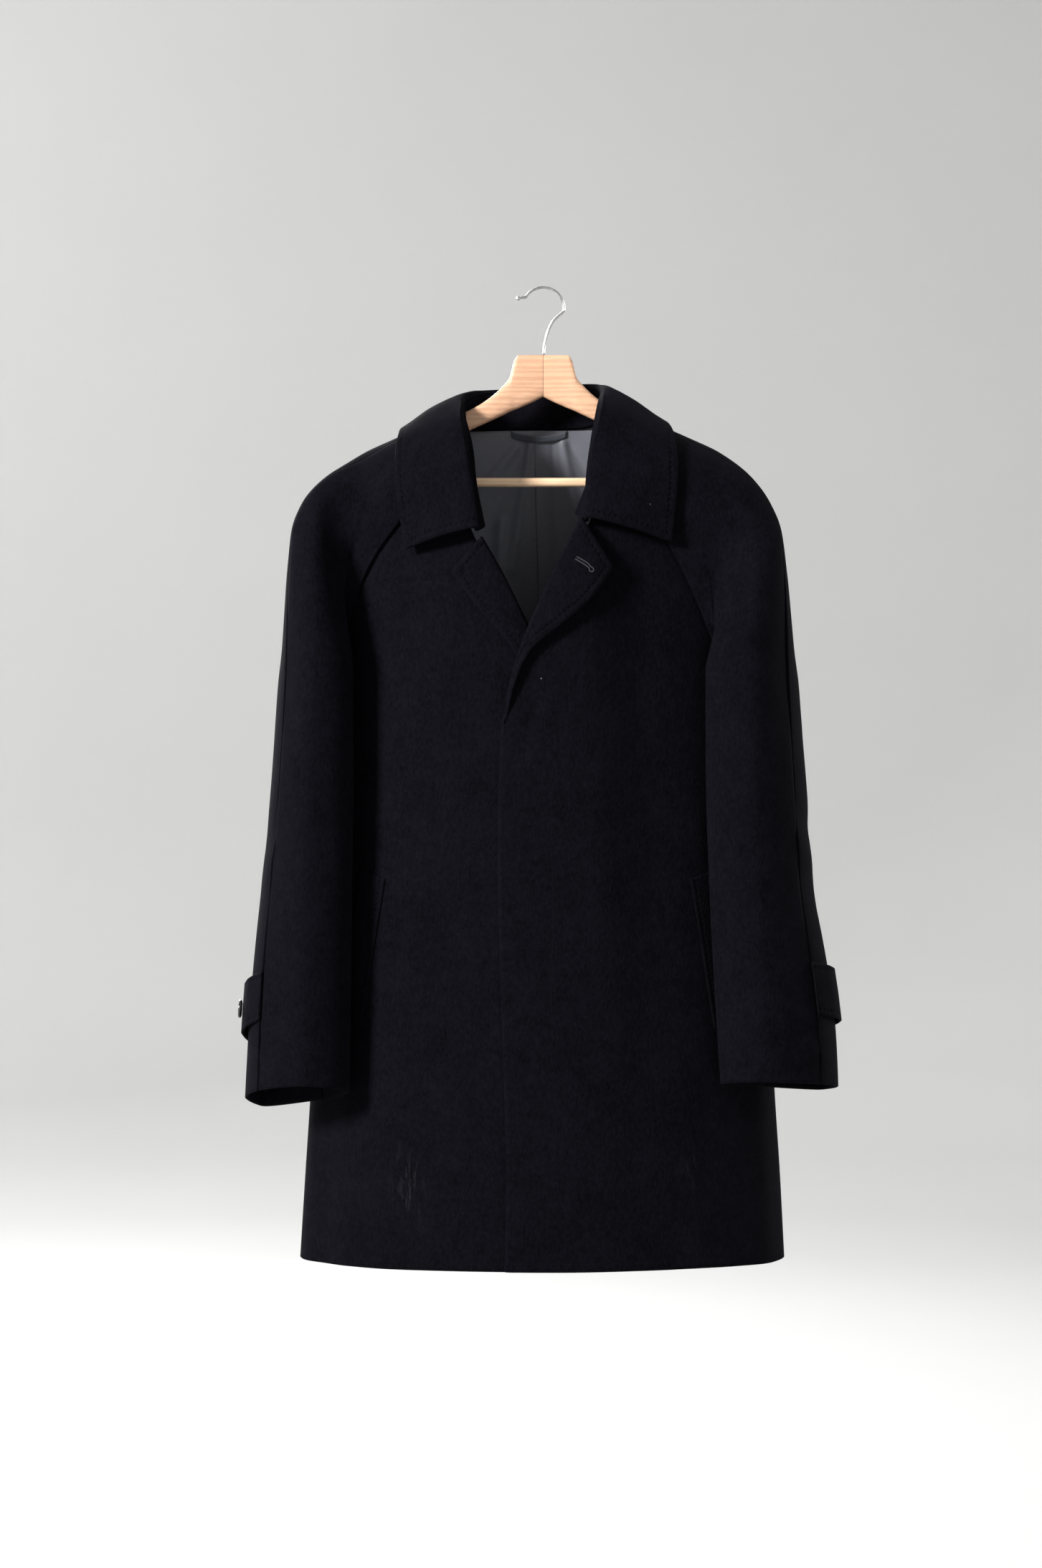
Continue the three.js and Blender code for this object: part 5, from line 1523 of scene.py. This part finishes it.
# %% Fly, front edge and hem
# Columns: x and z of the fly's line in front view, down and round its J at the foot.
fly_path = np.array([
    [4, -434], [7.4, -542], [9.4, -660], [8.2, -760], [8, -832],
    [3, -842], [-6, -849], [-20, -855], [-33, -858],
], float)
fly_fine = curve_through(np.concatenate([fly_path, 0 * fly_path[:, :1]], axis=1)[None], np.linspace(0, 8, 400))[0]
on_front = chest(fly_fine[:, 0], fly_fine[:, 1], True)
fly_up = body_normal(body_angle(fly_fine[:, 0], fly_fine[:, 1], -1), fly_fine[:, 1])
fly_line = stitch_line(on_front, fly_up, 3.4)
below_break = slice(0, 128)
normals = grid_normals(left_front)
edge_path, edge_up = inset_path(left_front[below_break], normals[below_break], "l", 7)
hem_path, hem_up = inset_path(left_front[:, :60], normals[:, :60], "b", 8)
threaded("stitches_fly", [fly_line], 2.3, 0.24)
edge_lines = [stitch_line(edge_path, edge_up, 6.5, 8), stitch_line(hem_path, hem_up, 6.5, 8)]
threaded("stitches_front_edge", edge_lines, 2.4, 0.26)
hem_lines = []
for panel in (right_front, back):
    path, ups = inset_path(panel, grid_normals(panel), "b", 8)
    hem_lines.append(stitch_line(path, ups, 9, 6))
threaded("stitches_hem", hem_lines, 1.6, 0.2)

# %% Buttonhole
hole_path = np.array([[34.5, -299.0], [46.8, -306.6], [49.2, -309.6], [51.6, -311.2], [52.4, -313.6], [50.6, -315.2],
                      [48.2, -314.2], [47.4, -311.4], [45.2, -309.2], [33.0, -301.4]])


def on_lapel(x, z, grid):
    """Places of a lapel grid seen at x and z in front view: its nearest points, and their normals."""
    front = grid[:, grid.shape[1] // 2:]
    normals = grid_normals(grid)[:, grid.shape[1] // 2:]
    flat, flat_n = front.reshape(-1, 3), normals.reshape(-1, 3)
    away = (flat[None, :, 0] - x[:, None]) ** 2 + (flat[None, :, 2] - z[:, None]) ** 2
    nearest = np.argsort(away, axis=1)[:, :4]
    weight = 1 / (np.take_along_axis(away, nearest, 1) + 0.05)
    weight /= weight.sum(1, keepdims=True)
    y = (flat[nearest][..., 1] * weight).sum(1)
    return vec(x, y, z), unit((flat_n[nearest] * weight[..., None]).sum(1))


smooth_hole = curve_through(np.concatenate([hole_path, 0 * hole_path[:, :1]], axis=1)[None],
                            np.linspace(0, len(hole_path) - 1, 160))[0]
at = even_places(smooth_hole, 0.62)
spots = read_path(smooth_hole, at)
heading = read_path(np.gradient(smooth_hole, axis=0), at)
centres, ups = on_lapel(spots[:, 0], spots[:, 1], lapels["left"])
sideways = np.cross(vec(heading[:, 0], 0, heading[:, 1]), ups)
threads("buttonhole", centres + 0.05 * ups, sideways, ups, 1.5, 0.32, pale_thread)

# %% [markdown]
# ## The hanger
# The bow is a loft of rounded sections whose top and bottom lines come from a table, swept forward
# towards its ends. The bar is a plain turned rod. The hook's wire is a round section carried along
# its path, with a small ball at the tip.
# %% Hanger
bow = table(["x", "top", "bottom", "thick"], [
    [0, -72, -117.5, 13],
    [14, -72, -124.5, 13],
    [28, -72.3, -130.5, 13],
    [32, -79, -132, 13],
    [36, -95, -133.8, 13],
    [43, -105, -137.2, 13],
    [57, -118, -143.8, 13],
    [75, -129.6, -152, 13],
    [118, -149.6, -172.5, 13.5],
    [157, -167.2, -193, 14],
    [190, -184.8, -214.5, 14.5],
    [203, -194.5, -222, 14],
    [211, -204, -221.5, 12],
    [214.5, -209, -217.5, 7],
])


def swept(x):
    """How far the arms come forward."""
    return -11 * (np.abs(x) / 210) ** 1.5


def closed_loft(rings):
    """Points and faces of a body through rings, closed by a point in the middle of each end."""
    count, turns = rings.shape[:2]
    points = np.concatenate([rings.reshape(-1, 3), [rings[0].mean(0)], [rings[-1].mean(0)]])
    return points, revolved_faces(count, turns)


def outward(points, faces):
    """The same faces, turned if the body they close would be inside out."""
    tri = np.concatenate([f[:, [0, k, k + 1]] for f in faces for k in range(1, f.shape[1] - 1)])
    a, b, c = points[tri[:, 0]], points[tri[:, 1]], points[tri[:, 2]]
    volume = (a * np.cross(b, c)).sum()
    return faces if volume > 0 else [f[:, ::-1] for f in faces]


def bow_rings(stations, sides=40):
    """Rounded sections of the bow: |c|^2.7 + |s|^2.7 = 1 between its top and bottom lines."""
    half = np.abs(stations)
    top, bottom, thick = (np.interp(half, bow["key"], bow[n]) for n in ("top", "bottom", "thick"))
    near = half > 36
    top[near], bottom[near] = look(bow, "top", half[near]), look(bow, "bottom", half[near])
    angle = 2 * math.pi * (np.arange(sides) + 0.5) / sides
    soft = lambda v: np.sign(v) * np.abs(v) ** (2 / 2.9)
    c, s = soft(np.cos(angle)), soft(np.sin(angle))
    y = swept(stations)[:, None] + thick[:, None] / 2 * c
    z = ((top + bottom) / 2)[:, None] + ((top - bottom) / 2)[:, None] * s
    return np.stack([stations[:, None] + 0 * y, y, z], axis=-1)


stations = np.unique(np.concatenate([np.linspace(-214.5, 214.5, 180), [0, 28, -28, 32, -32, 36, -36]]))
points, faces = closed_loft(bow_rings(stations))
made = make_object("hanger_bow", points, outward(points, faces), bow_wood)
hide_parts("hanger_wood")

bar = dict(radius=5, z=-211.6, half=205.5)
angle = 2 * math.pi * np.arange(36) / 36
x = np.concatenate([[-bar["half"]], np.linspace(-bar["half"] + 0.6, bar["half"] - 0.6, 40), [bar["half"]]])
radius = np.where(np.abs(x) == bar["half"], bar["radius"] - 0.6, bar["radius"])[:, None]
rings = vec(x[:, None] + 0 * angle, swept(bar["half"]) + radius * np.cos(angle), bar["z"] + radius * np.sin(angle))
points, faces = closed_loft(rings)
made = make_object("trouser_bar", points, outward(points, faces), bar_wood_painted_light)
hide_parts("hanger_bar")

wire_radius, bend = 1.5, 22.5
stem = [[0.3, -71.6], [1.6, -60], [5.2, -46], [10.5, -35.5], [17.5, -28.5]]
arc_angle = np.radians(np.linspace(-8, 148, 17))
arc = np.stack([bend * np.cos(arc_angle), -(bend - wire_radius) + bend * np.sin(arc_angle)], axis=1)
path_2d = np.concatenate([stem, arc, [[-22.6, -9.4], [-24.6, -9.8]]])
path = curve_through(vec(path_2d[:, 0], 0, path_2d[:, 1])[None], np.linspace(0, len(path_2d) - 1, 190))[0]
ahead = unit(np.gradient(path, axis=0))
ball = 2.6
tip_angle = np.radians([28, 45, 62, 80, 100, 120, 140, 158, 170])
centres = np.concatenate([path, path[-1] + ahead[-1] * (ball * (1 - np.cos(tip_angle)))[:, None]])
ahead = np.concatenate([ahead, np.repeat(ahead[-1:], len(tip_angle), axis=0)])
radius = np.concatenate([np.full(len(path), wire_radius), ball * np.sin(tip_angle)])
angle = 2 * math.pi * np.arange(24) / 24
across = vec(ahead[:, 2], 0, -ahead[:, 0])
rings = centres[:, None] + radius[:, None, None] * (
    across[:, None] * np.cos(angle)[None, :, None] + np.array([0, 1.0, 0]) * np.sin(angle)[None, :, None])
points, faces = closed_loft(rings)
made = make_object("hook_wire", points, outward(points, faces), wire)
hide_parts("hanger_hook")
print("bow, bar and hook")

# %% [markdown]
# ## Stage, light and camera
# The floor runs up into a wall all round, so that every view has a plain pale ground. One softbox
# high on the left gives the form, and a large dim one and the world fill the shadows.
# %% Stage


floor_z = -1.75  # metres below the hook


def stage_bowl():
    """A pale bowl: flat floor, a quarter round and a wall, turned about the upright axis."""
    radius = np.array([0.6, 1.5, 3.0, 4.6, 5.1, 5.6, 6.0, 6.25, 6.35, 6.4, 6.4])
    height = np.array([0, 0, 0, 0, 0.03, 0.14, 0.36, 0.7, 1.1, 1.6, 6.2]) + floor_z
    angle = 2 * math.pi * np.arange(96) / 96
    rings = np.stack([radius[:, None] * np.cos(angle), radius[:, None] * np.sin(angle),
                      height[:, None] + 0 * angle], axis=-1)
    count, turns = rings.shape[:2]
    i, j = np.meshgrid(np.arange(count - 1), np.arange(turns), indexing="ij")
    k = (j + 1) % turns
    quads = np.stack([i * turns + j, (i + 1) * turns + j, (i + 1) * turns + k, i * turns + k], axis=-1)
    j = np.arange(turns)
    fan = np.stack([np.full(turns, count * turns), j, (j + 1) % turns], axis=1)
    points = np.concatenate([rings.reshape(-1, 3), [[0, 0, floor_z]]])
    mesh = bpy.data.meshes.new("stage_floor")
    mesh.from_pydata(points.tolist(), [], quads.reshape(-1, 4).tolist() + fan.tolist())
    mesh.shade_smooth()
    return mesh


paper, graph, shader = finish_of("stage_paper", roughness=0.9, Specular_IOR_Level=0.1)
tone = graph.noise(graph.node("ShaderNodeTexCoord", out="Object"), 1.5, 2)
graph.tree.links.new(graph.mix(tone, (0.385, 0.385, 0.383, 1), (0.405, 0.405, 0.403, 1)),
                     shader.inputs["Base Color"])
floor = bpy.data.objects.new("stage_floor", stage_bowl())
floor.data.materials.append(paper)
bpy.context.scene.collection.objects.link(floor)


def area_light(name, place, aim, size, power, color):
    """A square light that looks at a point."""
    light = bpy.data.lights.new(name, "AREA")
    light.size, light.energy, light.color = size, power, color
    made = bpy.data.objects.new(name, light)
    made.location = place
    away = np.array(place) - np.array(aim)
    made.rotation_mode = "QUATERNION"
    made.rotation_quaternion = mathutils.Vector(away).to_track_quat("Z", "Y")
    bpy.context.scene.collection.objects.link(made)


chest_height = (0, 0, -0.5)
white = (1.0, 1.0, 1.0)
area_light("key", (-3.3, -2.5, 1.2), chest_height, 0.8, 500, (1.0, 0.985, 0.965))
area_light("fill", (2.6, -3.6, 0.8), chest_height, 3.0, 34, (0.96, 0.98, 1.0))
area_light("back", (-1.6, 4.0, 1.6), chest_height, 2.2, 320, white)
area_light("side", (4.0, 1.9, 1.0), chest_height, 2.0, 130, white)
area_light("wash", (-4.4, 2.6, 2.6), (-2.4, 6.3, -0.4), 1.6, 290, white)
world = bpy.data.worlds.new("studio")
world.use_nodes = True
world.node_tree.nodes["Background"].inputs["Color"].default_value = (0.98, 0.99, 1.0, 1)
world.node_tree.nodes["Background"].inputs["Strength"].default_value = 0.45
bpy.context.scene.world = world
bpy.context.scene.view_settings.view_transform = "Standard"

camera = bpy.data.cameras.new("camera")
camera.lens, camera.sensor_width = 70, 36
camera.clip_start, camera.clip_end = 0.05, 60
view = bpy.data.objects.new("camera", camera)
view.location = (-0.0242, -3.317, -0.5386)
view.rotation_euler = (math.radians(90), 0, 0)
bpy.context.scene.collection.objects.link(view)
bpy.context.scene.camera = view
